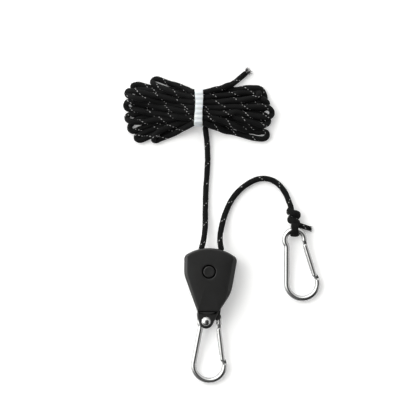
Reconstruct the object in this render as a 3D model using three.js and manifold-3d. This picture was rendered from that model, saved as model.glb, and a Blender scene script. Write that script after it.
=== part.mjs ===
// A rope ratchet hanger: a small pulley block with a one-way wheel, a rope through it, and two snap hooks.
// It lies flat on its back. Millimetres, +Z up. The origin is on the flat back of the housing, under the
// wheel's axle. +Y runs from the tail rivet to the wheel, and the rope leaves the housing at its +Y end.
import * as THREE from 'three';
import { mergeVertices } from 'three/addons/utils/BufferGeometryUtils.js';
import Module from 'manifold-3d';

const wasm = await Module();
wasm.setup();

// Driving dimensions.
const housingDepth = 15;          // front face to back face
const wallThickness = 1.8;        // side wall of a cover
const faceThickness = 2.6;        // front or back wall of a cover
const bevelWidth = 2.0;           // chamfer round the front and the back face
const bevelDepth = 1.5;
const crownRadius = 28.7;         // arched top edge of the housing
const crownRoom = 0.65;           // between the wheel and the wall, above the axle
const leftRoom = 1.9;             // and at the left and the right shoulder
const rightRoom = 3.1;
const housingMiddle = 0.75;       // the arch is centred a little beside the axle
const neckLeft = -6.1;
const neckRight = 8.1;
const neckAboveTail = 6.45;       // the housing ends and the tongue begins here
const neckRoom = 2.2;             // side walls stop this far beyond the hook's swing
const tailBelowPawl = 16.45;      // pawl's pin to tail rivet, along the housing
const tongueRadius = 4.7;         // round end of the tongue about the tail rivet
const tongueDepth = 12.6;         // thickness over the tongue
const tongueBevel = 0.9;
const partingGap = 0.3;           // between the two covers
const clearance = 0.3;            // between pieces that seat on each other
const runningGap = 0.2;           // between a pin and the hole that turns on it

const plateThickness = 1.0;
const plateMargin = 0.7;          // the steel plates stand this far inside the tongue's edge

const axleRadius = 2.5;
const axleHeadRadius = 3.3;
const axleHeadHeight = 0.8;
const capRadius = 3.8;
const capGroove = 0.85;           // open ring round the axle cap
const bushWall = 0.8;

const ropeDiameter = 3.8;
const wrapRadius = 9;             // rope's centre line round the wheel
const flangeAbove = 3;            // flange beyond the rope's centre line
const flangeThickness = 0.7;
const toothHeight = 1.2;
const toothCount = 24;
const exitLeft = -5.9;            // rope exits, measured along the arched top
const exitRight = 7.4;
const portMargin = 0.6;           // port round the rope

const pawlReach = 6.56;           // pawl's pin beyond the root of the teeth
const pawlAngle = -63.4;          // pawl's pin round the wheel, degrees
const pawlThickness = 1.2;
const pawlHubRadius = 2.4;
const pawlPinRadius = 1.25;
const pawlNoseAngle = -82;        // where the nose stands between two teeth, degrees
const pawlBacklash = 0.8;         // nose to the steep face of the tooth
const releaseTabRadius = 2.4;
const releaseTabReach = 7.3;      // tab beside the tail rivet, and above it
const releaseTabRise = 3.45;
const pawlSpringWire = 0.7;
const pawlSpringTurns = 3.5;

const rivetRadius = 1.4;
const rivetHeadRadius = 3;
const rivetHeadHeight = 1.45;
const rivetTailHeight = 0.9;
const spacerWall = 0.45;

const hookRod = 4;                // wire of a snap hook
const hookLength = 50;            // outside length of a snap hook
const eyeRadius = 8.57;           // outside radius of the small bow
const bowRadius = 12.33;          // outside radius of the large bow
const bowOffset = 5.17;           // large bow's centre beside the small bow's centre
const gateSlimmer = 0.15;         // gate's radius less than the wire's
const gateReach = 21.5;           // hinge pin to the open end of the gate
const gateHinge = new THREE.Vector2(13.2, -23.33);
const gateLean = 17.4;            // gate against the hook's spine, degrees
const gatePinRadius = 0.6;
const latchPinRadius = 0.55;
const latchPinReach = 19.2;       // hinge pin to latch pin
const tangThickness = 1.3;
const hookTurn = -7.4;            // main hook about the tail rivet, degrees
const hookSideGap = 0.4;          // main hook's wire to the rear side plate
const ropeHookPlace = new THREE.Vector2(55.85, 24.33);
const ropeHookTurn = 3.24;

const knotThickness = 9;
const loopWidth = 5.4;
const loopThickness = 2.4;

const hankPlace = new THREE.Vector2(-13.0, 108.6);
const hankTurn = 3.24;
const hankThickness = 12;
const bandWidth = 5.4;
const bandThickness = 0.9;
const bandHeight = 25.1;

// Materials.
const finish = (color, roughness, metalness) => new THREE.MeshStandardMaterial({ color, roughness, metalness });
const housingPlastic = finish(0x262626, 0.42, 0);
const capPlastic = finish(0x222222, 0.4, 0);
const plateSteel = finish(0x9a9c9f, 0.35, 1);
const wheelZinc = finish(0xa8a9ab, 0.4, 1);
const bushBrass = finish(0xb59a5a, 0.35, 1);
const rivetNickel = finish(0xd9dadb, 0.18, 1);
const pawlSteel = finish(0x1d1d1e, 0.45, 0.6);
const springSteel = finish(0xb7b9bb, 0.3, 1);
const hookPlating = finish(0xdcdddf, 0.16, 1);
const ropeBlack = finish(0x101011, 0.85, 0);
const bandPaper = finish(0xf4f4f2, 0.6, 0);

const model = new THREE.Group();

function place(name, geometry, material, parent = model) {
  const mesh = new THREE.Mesh(geometry, material);
  mesh.name = name;
  parent.add(mesh);
  return mesh;
}

// Booleans: a geometry becomes a solid, and a solid becomes a geometry again.
function solidOf(geometry) {
  const bare = geometry.clone();
  bare.deleteAttribute('normal');
  bare.deleteAttribute('uv');
  const merged = mergeVertices(bare, 1e-4);
  const vertProperties = new Float32Array(merged.attributes.position.array);
  const triVerts = new Uint32Array(merged.index.array);
  return new wasm.Manifold(new wasm.Mesh({ numProp: 3, vertProperties, triVerts }));
}

function geometryOf(solid) {
  const mesh = solid.getMesh();
  const geometry = new THREE.BufferGeometry();
  geometry.setAttribute('position', new THREE.BufferAttribute(new Float32Array(mesh.vertProperties), 3));
  geometry.setIndex(new THREE.BufferAttribute(new Uint32Array(mesh.triVerts), 1));
  geometry.computeVertexNormals();
  return geometry;
}

const radians = THREE.MathUtils.degToRad;
const polar = (radius, degrees) => new THREE.Vector2(
  radius * Math.cos(radians(degrees)),
  radius * Math.sin(radians(degrees)),
);

// A straight prism over an outline, from one height to another.
function prism(points, low, high) {
  const shape = new THREE.Shape(points);
  const geometry = new THREE.ExtrudeGeometry(shape, { depth: high - low, bevelEnabled: false });
  return geometry.translate(0, 0, low);
}

// A prism whose top and bottom edges are chamfered, the outline being its widest section.
function chamferedPrism(points, low, high, width, depth) {
  const shape = new THREE.Shape(points);
  const geometry = new THREE.ExtrudeGeometry(shape, {
    depth: high - low - 2 * depth,
    bevelEnabled: true,
    bevelThickness: depth,
    bevelSize: width,
    bevelOffset: -width,
    bevelSegments: 1,
  });
  return geometry.translate(0, 0, low + depth);
}

// A body of revolution about +Z, from a closed profile of radius and height.
function turned(profile, segments = 32) {
  const points = profile.map(([radius, height]) => new THREE.Vector2(radius, height));
  return new THREE.LatheGeometry(points, segments).rotateX(Math.PI / 2);
}

const disc = (radius, low, high, segments = 32) => turned(
  [[0, low], [radius, low], [radius, high], [0, high]],
  segments,
);

const sleeve = (inner, outer, low, high, segments = 32) => turned(
  [[inner, low], [outer, low], [outer, high], [inner, high], [inner, low]],
  segments,
);

function box(low, high) {
  const size = new THREE.Vector3().subVectors(high, low);
  const middle = new THREE.Vector3().addVectors(low, high).multiplyScalar(0.5);
  return new THREE.BoxGeometry(size.x, size.y, size.z).translate(middle.x, middle.y, middle.z);
}

// A regular section carried along a curve, with flat ends.
function swept(curve, radius, sides, steps) {
  const section = [];
  for (let i = 0; i < sides; i += 1) section.push(polar(radius, (360 * (i + 0.5)) / sides));
  const shape = new THREE.Shape(section);
  return new THREE.ExtrudeGeometry(shape, { steps, extrudePath: curve, bevelEnabled: false });
}

// A convex outline moved inwards: each edge moves by the distance, and neighbouring edges meet again.
function inset(points, distance) {
  const count = points.length;
  const moved = points.map((point, i) => {
    const next = points[(i + 1) % count];
    const along = next.clone().sub(point).normalize();
    const inward = new THREE.Vector2(-along.y, along.x);
    return { start: point.clone().addScaledVector(inward, distance), along };
  });
  return moved.map((edge, i) => {
    const before = moved[(i + count - 1) % count];
    const turn = before.along.cross(edge.along);
    const offset = edge.start.clone().sub(before.start).cross(edge.along) / turn;
    return before.start.clone().addScaledVector(before.along, offset);
  });
}

function arc(centre, radius, from, to, pieces) {
  const points = [];
  for (let i = 0; i <= pieces; i += 1) {
    points.push(polar(radius, from + ((to - from) * i) / pieces).add(centre));
  }
  return points;
}

// Outlines. The housing is a shield: an arched top, two shoulders, and sides that taper to the neck.
const flangeRadius = wrapRadius + flangeAbove;
const toothRadius = flangeRadius + toothHeight;
const crownHeight = toothRadius + wallThickness + crownRoom;
const shoulderLeft = -(toothRadius + wallThickness + leftRoom);
const shoulderRight = toothRadius + wallThickness + rightRoom;
const pawlPivot = polar(flangeRadius + pawlReach, pawlAngle);
const tail = new THREE.Vector2(0, pawlPivot.y - tailBelowPawl);
const neckHeight = tail.y + neckAboveTail;
const wallByPawl = polar(pawlHubRadius + clearance + wallThickness, -28.3).add(pawlPivot);
const crownCentre = new THREE.Vector2(housingMiddle, crownHeight - crownRadius);
const crownAt = (x) => crownCentre.y + Math.sqrt(crownRadius ** 2 - (x - crownCentre.x) ** 2);
const shoulderCut = 0.95;
const crownStart = new THREE.Vector2(shoulderRight - shoulderCut, crownAt(shoulderRight - shoulderCut));
const crownEnd = new THREE.Vector2(shoulderLeft + shoulderCut, crownAt(shoulderLeft + shoulderCut));
const angleFrom = (centre, point) => THREE.MathUtils.radToDeg(Math.atan2(point.y - centre.y, point.x - centre.x));

const housingOutline = [
  new THREE.Vector2(neckRight, neckHeight),
  wallByPawl,
  new THREE.Vector2(shoulderRight - 3.0, pawlPivot.y + 3.0),
  new THREE.Vector2(shoulderRight - 1.9, pawlPivot.y + 8.0),
  new THREE.Vector2(shoulderRight, crownStart.y - 1.8),
  ...arc(crownCentre, crownRadius, angleFrom(crownCentre, crownStart), angleFrom(crownCentre, crownEnd), 12),
  new THREE.Vector2(shoulderLeft, crownEnd.y - 1.8),
  new THREE.Vector2(shoulderLeft + 0.7, -2.7),
  new THREE.Vector2(neckLeft, neckHeight),
];

// The tongue tapers from the neck to a round end about the tail rivet. It reaches up inside the housing.
const tongueTop = neckHeight + 3;
const tongueOutline = [
  new THREE.Vector2(neckRight, tongueTop),
  new THREE.Vector2(neckLeft, tongueTop),
  new THREE.Vector2(neckLeft, neckHeight),
  ...arc(tail, tongueRadius, 196, 340, 12),
  new THREE.Vector2(neckRight, neckHeight - 0.4),
];

// Heights, from the back face up. Everything inside is laid out about the middle of the housing.
const middleHeight = housingDepth / 2;
const rearPlateLow = faceThickness + clearance;
const rearPlateHigh = rearPlateLow + plateThickness;
const frontPlateHigh = housingDepth - rearPlateLow;
const frontPlateLow = housingDepth - rearPlateHigh;
const wheelLow = rearPlateHigh + clearance;
const wheelHigh = frontPlateLow - clearance;
const tongueLow = (housingDepth - tongueDepth) / 2;
const tongueHigh = housingDepth - tongueLow;
const pawlHigh = wheelHigh;
const pawlLow = pawlHigh - pawlThickness;
const ropeRadius = ropeDiameter / 2;
const ropeHeight = wheelLow + flangeThickness + clearance + ropeRadius;

// Rope round the wheel: straight from each exit to the wheel, and round under it.
const exitPoint = (x) => new THREE.Vector2(x, crownAt(x));
function tangentAngle(exit, side) {
  const reach = THREE.MathUtils.radToDeg(Math.acos(wrapRadius / exit.length()));
  return angleFrom(new THREE.Vector2(0, 0), exit) + side * reach;
}
const leftExit = exitPoint(exitLeft);
const rightExit = exitPoint(exitRight);
const leftTouch = tangentAngle(leftExit, 1);
const rightTouch = tangentAngle(rightExit, -1);
const level = (point, height) => new THREE.Vector3(point.x, point.y, height);

// Covers: one hollow shield, cut in two at mid depth. Ports let the rope out, the neck is open for the
// hook, and a slot in the right wall lets the release lever swing out.
function portCut(exit, touch) {
  const from = polar(wrapRadius, touch);
  const along = exit.clone().sub(from).normalize();
  const end = exit.clone().addScaledVector(along, 3);
  const start = exit.clone().addScaledVector(along, -4);
  const line = new THREE.LineCurve3(level(start, ropeHeight), level(end, ropeHeight));
  return solidOf(swept(line, ropeRadius + portMargin, 16, 1));
}

const spacerRadius = rivetRadius + runningGap + spacerWall;
const hookPlay = eyeRadius - hookRod - spacerRadius - clearance;
const hookSweep = eyeRadius + hookPlay + neckRoom;
const openLow = faceThickness;
const openHigh = housingDepth - faceThickness;
const leverSlot = box(
  new THREE.Vector3(pawlPivot.x - 4, neckHeight - 1, pawlLow - clearance),
  new THREE.Vector3(shoulderRight, pawlPivot.y - 1.2, pawlHigh + clearance),
);

let shell = solidOf(chamferedPrism(housingOutline, 0, housingDepth, bevelWidth, bevelDepth));
shell = shell.add(solidOf(chamferedPrism(tongueOutline, tongueLow, tongueHigh, tongueBevel, tongueBevel)));
shell = shell.subtract(solidOf(prism(inset(housingOutline, wallThickness), openLow, openHigh)));
shell = shell.subtract(solidOf(disc(hookSweep, openLow, openHigh, 48).translate(tail.x, tail.y, 0)));
shell = shell.subtract(solidOf(leverSlot));
shell = shell.subtract(portCut(leftExit, leftTouch));
shell = shell.subtract(portCut(rightExit, rightTouch));
shell = shell.subtract(solidOf(disc(capRadius + capGroove, openHigh - 1, housingDepth + 1, 40)));
shell = shell.subtract(solidOf(disc(axleHeadRadius + clearance, 1.5, openLow + 1)));
shell = shell.subtract(solidOf(sleeve(capRadius, capRadius + capGroove, -1, 0.5, 40)));
const rivetHole = disc(rivetRadius + clearance, -1, housingDepth + 1, 24).translate(tail.x, tail.y, 0);
shell = shell.subtract(solidOf(rivetHole));

const half = 100;
const partingLow = middleHeight - partingGap / 2;
const partingHigh = middleHeight + partingGap / 2;
const rearHalf = box(new THREE.Vector3(-half, -half, -1), new THREE.Vector3(half, half, partingLow));
const frontHalf = box(new THREE.Vector3(-half, -half, partingHigh), new THREE.Vector3(half, half, half));
place('rear_cover', geometryOf(shell.intersect(solidOf(rearHalf))), housingPlastic);
place('front_cover', geometryOf(shell.intersect(solidOf(frontHalf))), housingPlastic);

// Axle cap: a plastic disc let into the front cover over the axle's head.
const capLow = openHigh + axleHeadHeight + clearance;
place('axle_cap', disc(capRadius, capLow, housingDepth - 0.1, 40), capPlastic);

// Side plates: the two steel plates that carry the load from the axle to the tail rivet.
function sidePlate(low) {
  const high = low + plateThickness;
  const bodyPart = inset(housingOutline, wallThickness + clearance);
  let plate = solidOf(prism(bodyPart, low, high));
  plate = plate.add(solidOf(prism(inset(tongueOutline, plateMargin), low, high)));
  const hole = (radius, at) => solidOf(disc(radius, low - 1, high + 1, 24).translate(at.x, at.y, 0));
  plate = plate.subtract(hole(axleRadius + clearance, new THREE.Vector2(0, 0)));
  plate = plate.subtract(hole(pawlPinRadius + clearance, pawlPivot));
  plate = plate.subtract(hole(rivetRadius + clearance, tail));
  return geometryOf(plate);
}
place('rear_side_plate', sidePlate(rearPlateLow), plateSteel);
place('front_side_plate', sidePlate(frontPlateLow), plateSteel);

// Wheel: a grooved wheel for the rope, with ratchet teeth round its front flange. It turns on a bush.
const bushInner = axleRadius + runningGap;
const bushOuter = bushInner + bushWall;
const wheelBore = bushOuter + runningGap;
const grooveFloor = wrapRadius - ropeRadius - clearance;
const flangeLow = ropeHeight - ropeRadius - clearance;
const flangeHigh = ropeHeight + ropeRadius + clearance;
const wheelProfile = [
  [wheelBore, wheelLow],
  [flangeRadius, wheelLow],
  [flangeRadius, flangeLow - 0.4],
  [grooveFloor + 1.3, flangeLow],
  [grooveFloor, ropeHeight - 1.0],
  [grooveFloor, ropeHeight + 1.0],
  [grooveFloor + 1.3, flangeHigh],
  [flangeRadius, flangeHigh + 0.2],
  [flangeRadius, wheelHigh],
  [wheelBore, wheelHigh],
  [wheelBore, wheelLow],
];
const toothPitch = 360 / toothCount;
const noseGap = THREE.MathUtils.radToDeg(pawlBacklash / flangeRadius);
const steepFace = pawlNoseAngle - noseGap;
const toothOutline = [];
for (let i = 0; i < toothCount; i += 1) {
  const face = steepFace + i * toothPitch;
  toothOutline.push(polar(flangeRadius, face + 0.2));
  toothOutline.push(polar(flangeRadius + toothHeight * 0.6, face + toothPitch * 0.6));
  toothOutline.push(polar(toothRadius, face + toothPitch));
}
const toothRing = solidOf(prism(toothOutline, flangeHigh + 0.2, wheelHigh))
  .subtract(solidOf(disc(wheelBore + 1, flangeHigh - 1, wheelHigh + 1, 48)));
const wheel = solidOf(turned(wheelProfile, 48)).add(toothRing);
place('ratchet_wheel', geometryOf(wheel), wheelZinc);
place('wheel_bush', sleeve(bushInner, bushOuter, wheelLow, wheelHigh), bushBrass);

// Axle: a shouldered rivet through both side plates.
const axleProfile = [
  [0, rearPlateLow - clearance / 2 - axleHeadHeight],
  [axleHeadRadius, rearPlateLow - clearance / 2 - axleHeadHeight],
  [axleHeadRadius, rearPlateLow - clearance / 2],
  [axleRadius, rearPlateLow - clearance / 2],
  [axleRadius, frontPlateHigh + clearance / 2],
  [axleHeadRadius, frontPlateHigh + clearance / 2],
  [axleHeadRadius, frontPlateHigh + clearance / 2 + axleHeadHeight],
  [0, frontPlateHigh + clearance / 2 + axleHeadHeight],
];
place('wheel_axle', turned(axleProfile), rivetNickel);

// Pawl: one flat lever. Its nose stands in a tooth gap, and its tab reaches out beside the tongue.
const releaseTab = new THREE.Vector2(releaseTabReach, tail.y + releaseTabRise);
const noseTip = polar(flangeRadius + toothHeight / 2, pawlNoseAngle);
const fromPivot = (x, y) => new THREE.Vector2(x, y).add(pawlPivot);
const noseOutline = [noseTip, fromPivot(-2.0, -1.3), fromPivot(1.8, 1.5)];
const armOutline = [
  fromPivot(-1.9, -1.5),
  new THREE.Vector2(releaseTab.x - 1.7, releaseTab.y + 0.8),
  new THREE.Vector2(releaseTab.x + 1.6, releaseTab.y + 0.8),
  fromPivot(1.5, -1.5),
];
let pawl = solidOf(disc(pawlHubRadius, pawlLow, pawlHigh, 28).translate(pawlPivot.x, pawlPivot.y, 0));
pawl = pawl.add(solidOf(prism(noseOutline, pawlLow, pawlHigh)));
pawl = pawl.add(solidOf(prism(armOutline, pawlLow, pawlHigh)));
const tab = disc(releaseTabRadius, pawlLow, pawlHigh, 28).translate(releaseTab.x, releaseTab.y, 0);
pawl = pawl.add(solidOf(tab));
const pawlBore = disc(pawlPinRadius + runningGap, pawlLow - 1, pawlHigh + 1, 24);
pawl = pawl.subtract(solidOf(pawlBore.translate(pawlPivot.x, pawlPivot.y, 0)));
place('release_pawl', geometryOf(pawl), pawlSteel);
const pawlPin = disc(pawlPinRadius, rearPlateLow, frontPlateHigh, 24);
place('pawl_pin', pawlPin.translate(pawlPivot.x, pawlPivot.y, 0), rivetNickel);

// Pawl spring: a torsion spring on the pawl's pin. One leg lies under the lever, one by the left wall.
class SpringLine extends THREE.Curve {
  getPoint(share, target = new THREE.Vector3()) {
    const legShare = 0.12;
    const legLength = 3;
    const radius = pawlPinRadius + clearance + pawlSpringWire / 2 + 0.1;
    const low = wheelLow + pawlSpringWire;
    const high = pawlLow - clearance - pawlSpringWire / 2;
    const coil = THREE.MathUtils.clamp((share - legShare) / (1 - 2 * legShare), 0, 1);
    const from = 110;
    const angle = from - coil * 360 * pawlSpringTurns;
    const spot = polar(radius, angle).add(pawlPivot);
    if (share < legShare) spot.addScaledVector(polar(1, from + 90), legLength * (1 - share / legShare));
    const tip = Math.max(0, 1 - (1 - share) / legShare);
    spot.addScaledVector(polar(1, angle - 90), legLength * tip);
    return target.set(spot.x, spot.y, low + (high - low) * coil);
  }
}
const pawlSpring = swept(new SpringLine(), pawlSpringWire / 2, 5, 60);
place('pawl_spring', pawlSpring, springSteel);

// Tail rivet: it closes the tongue and carries the main hook on a short sleeve.
const domeSteps = 4;
const rivetProfile = [[0, tongueLow - 0.15 - rivetTailHeight]];
for (let i = 0; i <= domeSteps; i += 1) {
  const turn = (i / domeSteps) * 90;
  const drop = rivetTailHeight * Math.cos(radians(turn));
  rivetProfile.push([rivetHeadRadius * Math.sin(radians(20 + (turn * 70) / 90)), tongueLow - 0.15 - drop]);
}
rivetProfile.push([rivetRadius, tongueLow - 0.15]);
rivetProfile.push([rivetRadius, tongueHigh + 0.15]);
for (let i = 0; i <= domeSteps; i += 1) {
  const turn = (i / domeSteps) * 90;
  const rise = rivetHeadHeight * Math.sin(radians(turn));
  rivetProfile.push([rivetHeadRadius * Math.cos(radians(turn)), tongueHigh + 0.15 + rise]);
}
rivetProfile[rivetProfile.length - 1][0] = 0;
place('tail_rivet', turned(rivetProfile, 24).translate(tail.x, tail.y, 0), rivetNickel);
const spacer = sleeve(rivetRadius + runningGap, spacerRadius, wheelLow, wheelHigh, 28);
place('tail_sleeve', spacer.translate(tail.x, tail.y, 0), plateSteel);

// Snap hook, drawn flat about the centre of its small bow: a bent wire with a sprung gate.
const wireRadius = hookRod / 2;
const gateRadius = wireRadius - gateSlimmer;
const eyeLine = eyeRadius - wireRadius;
const bowLine = bowRadius - wireRadius;
const bowCentre = new THREE.Vector2(bowOffset, -(hookLength - eyeRadius - bowRadius));
const spine = bowCentre.x - bowLine;
const gateUp = polar(1, 90 + gateLean);
const gateIn = polar(1, 180 + gateLean);
const onGate = (along, inward = 0) => gateHinge.clone()
  .addScaledVector(gateUp, along)
  .addScaledVector(gateIn, inward);

function hookCurve() {
  const points = [];
  points.push(...arc(new THREE.Vector2(0, 0), eyeLine, -6, 204, 22));
  points.push(new THREE.Vector2(spine - 0.25, -3.8));
  points.push(new THREE.Vector2(spine, -5.2));
  for (let i = 1; i <= 4; i += 1) points.push(new THREE.Vector2(spine, -5.2 + (i * (bowCentre.y + 5.2)) / 5));
  points.push(...arc(bowCentre, bowLine, 180, 380, 24));
  return new THREE.CatmullRomCurve3(points.map((point) => level(point, 0)), false, 'centripetal');
}

const hingeTang = 1.6;
function hookBody() {
  let body = solidOf(swept(hookCurve(), wireRadius, 12, 60));
  const halfTang = tangThickness / 2;
  const rodEnd = polar(bowLine, 14).add(bowCentre);
  const tang = prism([
    rodEnd.clone().add(polar(wireRadius - 0.3, 14)),
    onGate(0, -hingeTang),
    onGate(0, hingeTang),
    rodEnd.clone().add(polar(0.3 - wireRadius, 14)),
  ], -halfTang, halfTang);
  body = body.add(solidOf(tang));
  body = body.add(solidOf(disc(hingeTang, -halfTang, halfTang, 20).translate(gateHinge.x, gateHinge.y, 0)));
  const pinHole = disc(gatePinRadius + runningGap, -2, 2, 16);
  body = body.subtract(solidOf(pinHole.translate(gateHinge.x, gateHinge.y, 0)));
  const nose = prism([
    new THREE.Vector2(eyeLine - 1.5, 0.4),
    onGate(17.3, 1.5),
    onGate(17.3, -1.5),
    new THREE.Vector2(eyeLine + 1.6, 0.4),
  ], -halfTang, halfTang);
  const notchHalf = latchPinRadius + clearance;
  const notch = prism([
    onGate(latchPinReach - notchHalf, 3),
    onGate(latchPinReach - notchHalf, -notchHalf),
    onGate(latchPinReach + notchHalf, -notchHalf),
    onGate(latchPinReach + notchHalf, 3),
  ].reverse(), -2, 2);
  return geometryOf(body.add(solidOf(nose).subtract(solidOf(notch))));
}

// A round bar along the gate's own line.
function alongGate(radius, from, to, sides = 16) {
  const line = new THREE.LineCurve3(level(onGate(from), 0), level(onGate(to), 0));
  return swept(line, radius, sides, 1);
}

const slotHalf = tangThickness / 2 + clearance;
const plungerRadius = 0.75;
const springBore = 1.05;
const gateSpringWire = 0.34;
function hookGate() {
  let gate = solidOf(alongGate(gateRadius, -0.2, gateReach));
  const ears = disc(gateRadius, -gateRadius + 0.2, gateRadius - 0.2, 20);
  gate = gate.add(solidOf(ears.translate(gateHinge.x, gateHinge.y, 0)));
  const slot = (from, to) => solidOf(prism([
    onGate(from, 3),
    onGate(to, 3),
    onGate(to, -3),
    onGate(from, -3),
  ].reverse(), -slotHalf, slotHalf));
  gate = gate.subtract(slot(-3, hingeTang + 1.4));
  gate = gate.subtract(slot(16.8, gateReach + 1));
  gate = gate.subtract(solidOf(alongGate(springBore, 2, 11, 12)));
  const pinHole = (along, radius) => solidOf(disc(radius + 0.15, -3, 3, 16)
    .translate(onGate(along).x, onGate(along).y, 0));
  gate = gate.subtract(pinHole(0, gatePinRadius));
  return geometryOf(gate.subtract(pinHole(latchPinReach, latchPinRadius)));
}

class CoilLine extends THREE.Curve {
  getPoint(share, target = new THREE.Vector3()) {
    const spot = onGate(5.6 + 5.0 * share, 0.62 * Math.cos(share * 10 * Math.PI));
    return target.set(spot.x, spot.y, 0.62 * Math.sin(share * 10 * Math.PI));
  }
}

function snapHook(prefix, bodyGroup) {
  const pinHalf = gateRadius - 0.1;
  const pinAt = (radius, along) => disc(radius, -pinHalf, pinHalf, 16)
    .translate(onGate(along).x, onGate(along).y, 0);
  place(`${prefix}_body`, hookBody(), hookPlating, bodyGroup);
  place(`${prefix}_gate`, hookGate(), hookPlating, bodyGroup);
  place(`${prefix}_gate_pin`, pinAt(gatePinRadius, 0), rivetNickel, bodyGroup);
  place(`${prefix}_latch_pin`, pinAt(latchPinRadius, latchPinReach), rivetNickel, bodyGroup);
  place(`${prefix}_gate_spring`, swept(new CoilLine(), gateSpringWire / 2, 5, 40), springSteel, bodyGroup);
  place(`${prefix}_plunger`, alongGate(plungerRadius, hingeTang + clearance, 5.2, 12), rivetNickel, bodyGroup);
}

// Each hook leans down from where it is held until the far end of its large bow rests on the ground.
const hookReach = bowLine - bowCentre.y;
const hookHeight = rearPlateHigh + hookSideGap + wireRadius;
const mainHook = new THREE.Group();
const mainLean = Math.asin((hookHeight - wireRadius - 0.05) / hookReach);
mainHook.position.set(tail.x, tail.y, hookHeight);
mainHook.rotation.set(mainLean, 0, radians(hookTurn), 'ZYX');
const mainHookWire = new THREE.Group();
mainHookWire.position.set(hookPlay, 0.1, 0);
mainHook.add(mainHookWire);
model.add(mainHook);
snapHook('main_hook', mainHookWire);

const loopInner = wireRadius + clearance;
const loopOuter = loopInner + loopThickness;
const loopHeight = loopOuter + 0.4;
const ropeHook = new THREE.Group();
const ropeLean = Math.asin((loopHeight - wireRadius - 0.05) / (hookReach + eyeLine));
const ropeHookHeight = loopHeight - eyeLine * Math.sin(ropeLean);
ropeHook.position.set(ropeHookPlace.x, ropeHookPlace.y, ropeHookHeight);
ropeHook.rotation.set(ropeLean, 0, radians(ropeHookTurn), 'ZYX');
model.add(ropeHook);
snapHook('rope_hook', ropeHook);

// Rope. Its route inside the housing is straight, round the wheel, and straight again.
const innerRoute = [];
const backFromExit = (exit, touch, share) => exit.clone().lerp(polar(wrapRadius, touch), share);
for (const share of [0, 0.25, 0.5, 0.75]) innerRoute.push(backFromExit(leftExit, leftTouch, share));
innerRoute.push(...arc(new THREE.Vector2(0, 0), wrapRadius, leftTouch, 360 + rightTouch, 20));
for (const share of [0.75, 0.5, 0.25, 0]) innerRoute.push(backFromExit(rightExit, rightTouch, share));
const innerCurve = new THREE.CatmullRomCurve3(innerRoute.map((point) => level(point, ropeHeight)));
place('rope_in_housing', swept(innerCurve, ropeRadius, 8, 28), ropeBlack);

// Each leg's route, by hand: out of the housing, down to the ground, and along it.
const loadRoute = [
  [7.3, 15.25, 7.1], [6.3, 19.7, 6.7], [6.05, 25, 5.5], [6.8, 30.4, 4.1], [7.8, 35.8, 2.9],
  [9.4, 41.3, 2.2], [11.6, 46.8, 1.95], [14.8, 52.2, 1.9], [20.1, 57.9, 1.9], [27.2, 62.6, 1.9],
  [32.6, 64, 1.9], [37.2, 63.6, 1.9], [41.2, 62, 1.95], [44.8, 59.1, 2.1], [48.4, 54.4, 2.6],
  [50.8, 49.2, 3.5], [52.0, 46.4, 4.1],
];
const freeRoute = [
  [-5.85, 15.25, 7.1], [-5.0, 19.1, 6.7], [-4.45, 24, 5.7], [-4.2, 29, 4.4], [-4.4, 34.5, 3.1],
  [-4.75, 40, 2.3], [-5.0, 47, 1.95], [-5.2, 55, 1.9], [-5.05, 64, 1.9], [-5.05, 74, 1.9],
  [-5.8, 83, 1.95], [-6.6, 88.6, 2.2], [-7.3, 92.3, 2.5], [-7.75, 95.0, 2.8],
];
const curveThrough = (route) => new THREE.CatmullRomCurve3(
  route.map(([x, y, z]) => new THREE.Vector3(x, y, z)),
  false,
  'centripetal',
);
place('rope_load_leg', swept(curveThrough(loadRoute), ropeRadius, 8, 16), ropeBlack);
place('rope_free_leg', swept(curveThrough(freeRoute), ropeRadius, 8, 13), ropeBlack);

// Knot: two turns of rope pulled tight, with a loop that holds the rope hook's small bow.
const knot = new THREE.Group();
knot.position.set(ropeHookPlace.x, ropeHookPlace.y, 0);
knot.rotation.z = radians(ropeHookTurn);
model.add(knot);

function lobe(x, y, length, width, turn) {
  const ball = new THREE.SphereGeometry(0.5, 16, 10);
  ball.scale(length, width, knotThickness).rotateZ(radians(turn));
  return solidOf(ball.translate(x, y, knotThickness / 2));
}

function loopOutline(radius, top) {
  return [...arc(new THREE.Vector2(0, 0), radius, 180, 360, 12), new THREE.Vector2(radius, top),
    new THREE.Vector2(-radius, top)];
}

const loopTurn = new THREE.Matrix4().makeBasis(
  new THREE.Vector3(0, 0, 1),
  new THREE.Vector3(0, 1, 0),
  new THREE.Vector3(-1, 0, 0),
);
function loopPart(radius, top, width) {
  const part = prism(loopOutline(radius, top), -width / 2, width / 2).applyMatrix4(loopTurn);
  return solidOf(part.translate(0, eyeLine, loopHeight));
}
let knotSolid = lobe(-0.6, 17.2, 10, 6.2, -8).add(lobe(-0.3, 12.3, 8.4, 6, 0));
knotSolid = knotSolid.add(loopPart(loopOuter, 5.5, loopWidth));
knotSolid = knotSolid.subtract(loopPart(loopInner, 2.6, loopWidth + 4));
const eyeArc = arc(new THREE.Vector2(0, 0), eyeLine, 30, 150, 12).map((point) => level(point, loopHeight));
knotSolid = knotSolid.subtract(solidOf(swept(new THREE.CatmullRomCurve3(eyeArc), loopInner, 16, 16)));
const knotEntry = new THREE.LineCurve3(new THREE.Vector3(-2.25, 17.5, 4.9), new THREE.Vector3(-2.62, 21.5, 4.25));
knotSolid = knotSolid.add(solidOf(swept(knotEntry, ropeRadius, 8, 1)));
const knotFloor = box(new THREE.Vector3(-half, -half, -half), new THREE.Vector3(half, half, 0.05));
place('rope_knot', geometryOf(knotSolid.subtract(solidOf(knotFloor))), ropeBlack, knot);
const knotTail = [[4.9, 10.4, 3.6], [7.4, 9.5, 2.8], [9.8, 8.6, 2.1], [11.8, 8.1, 1.9]];
place('rope_knot_tail', swept(curveThrough(knotTail), ropeRadius, 8, 3), ropeBlack, knot);

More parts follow.
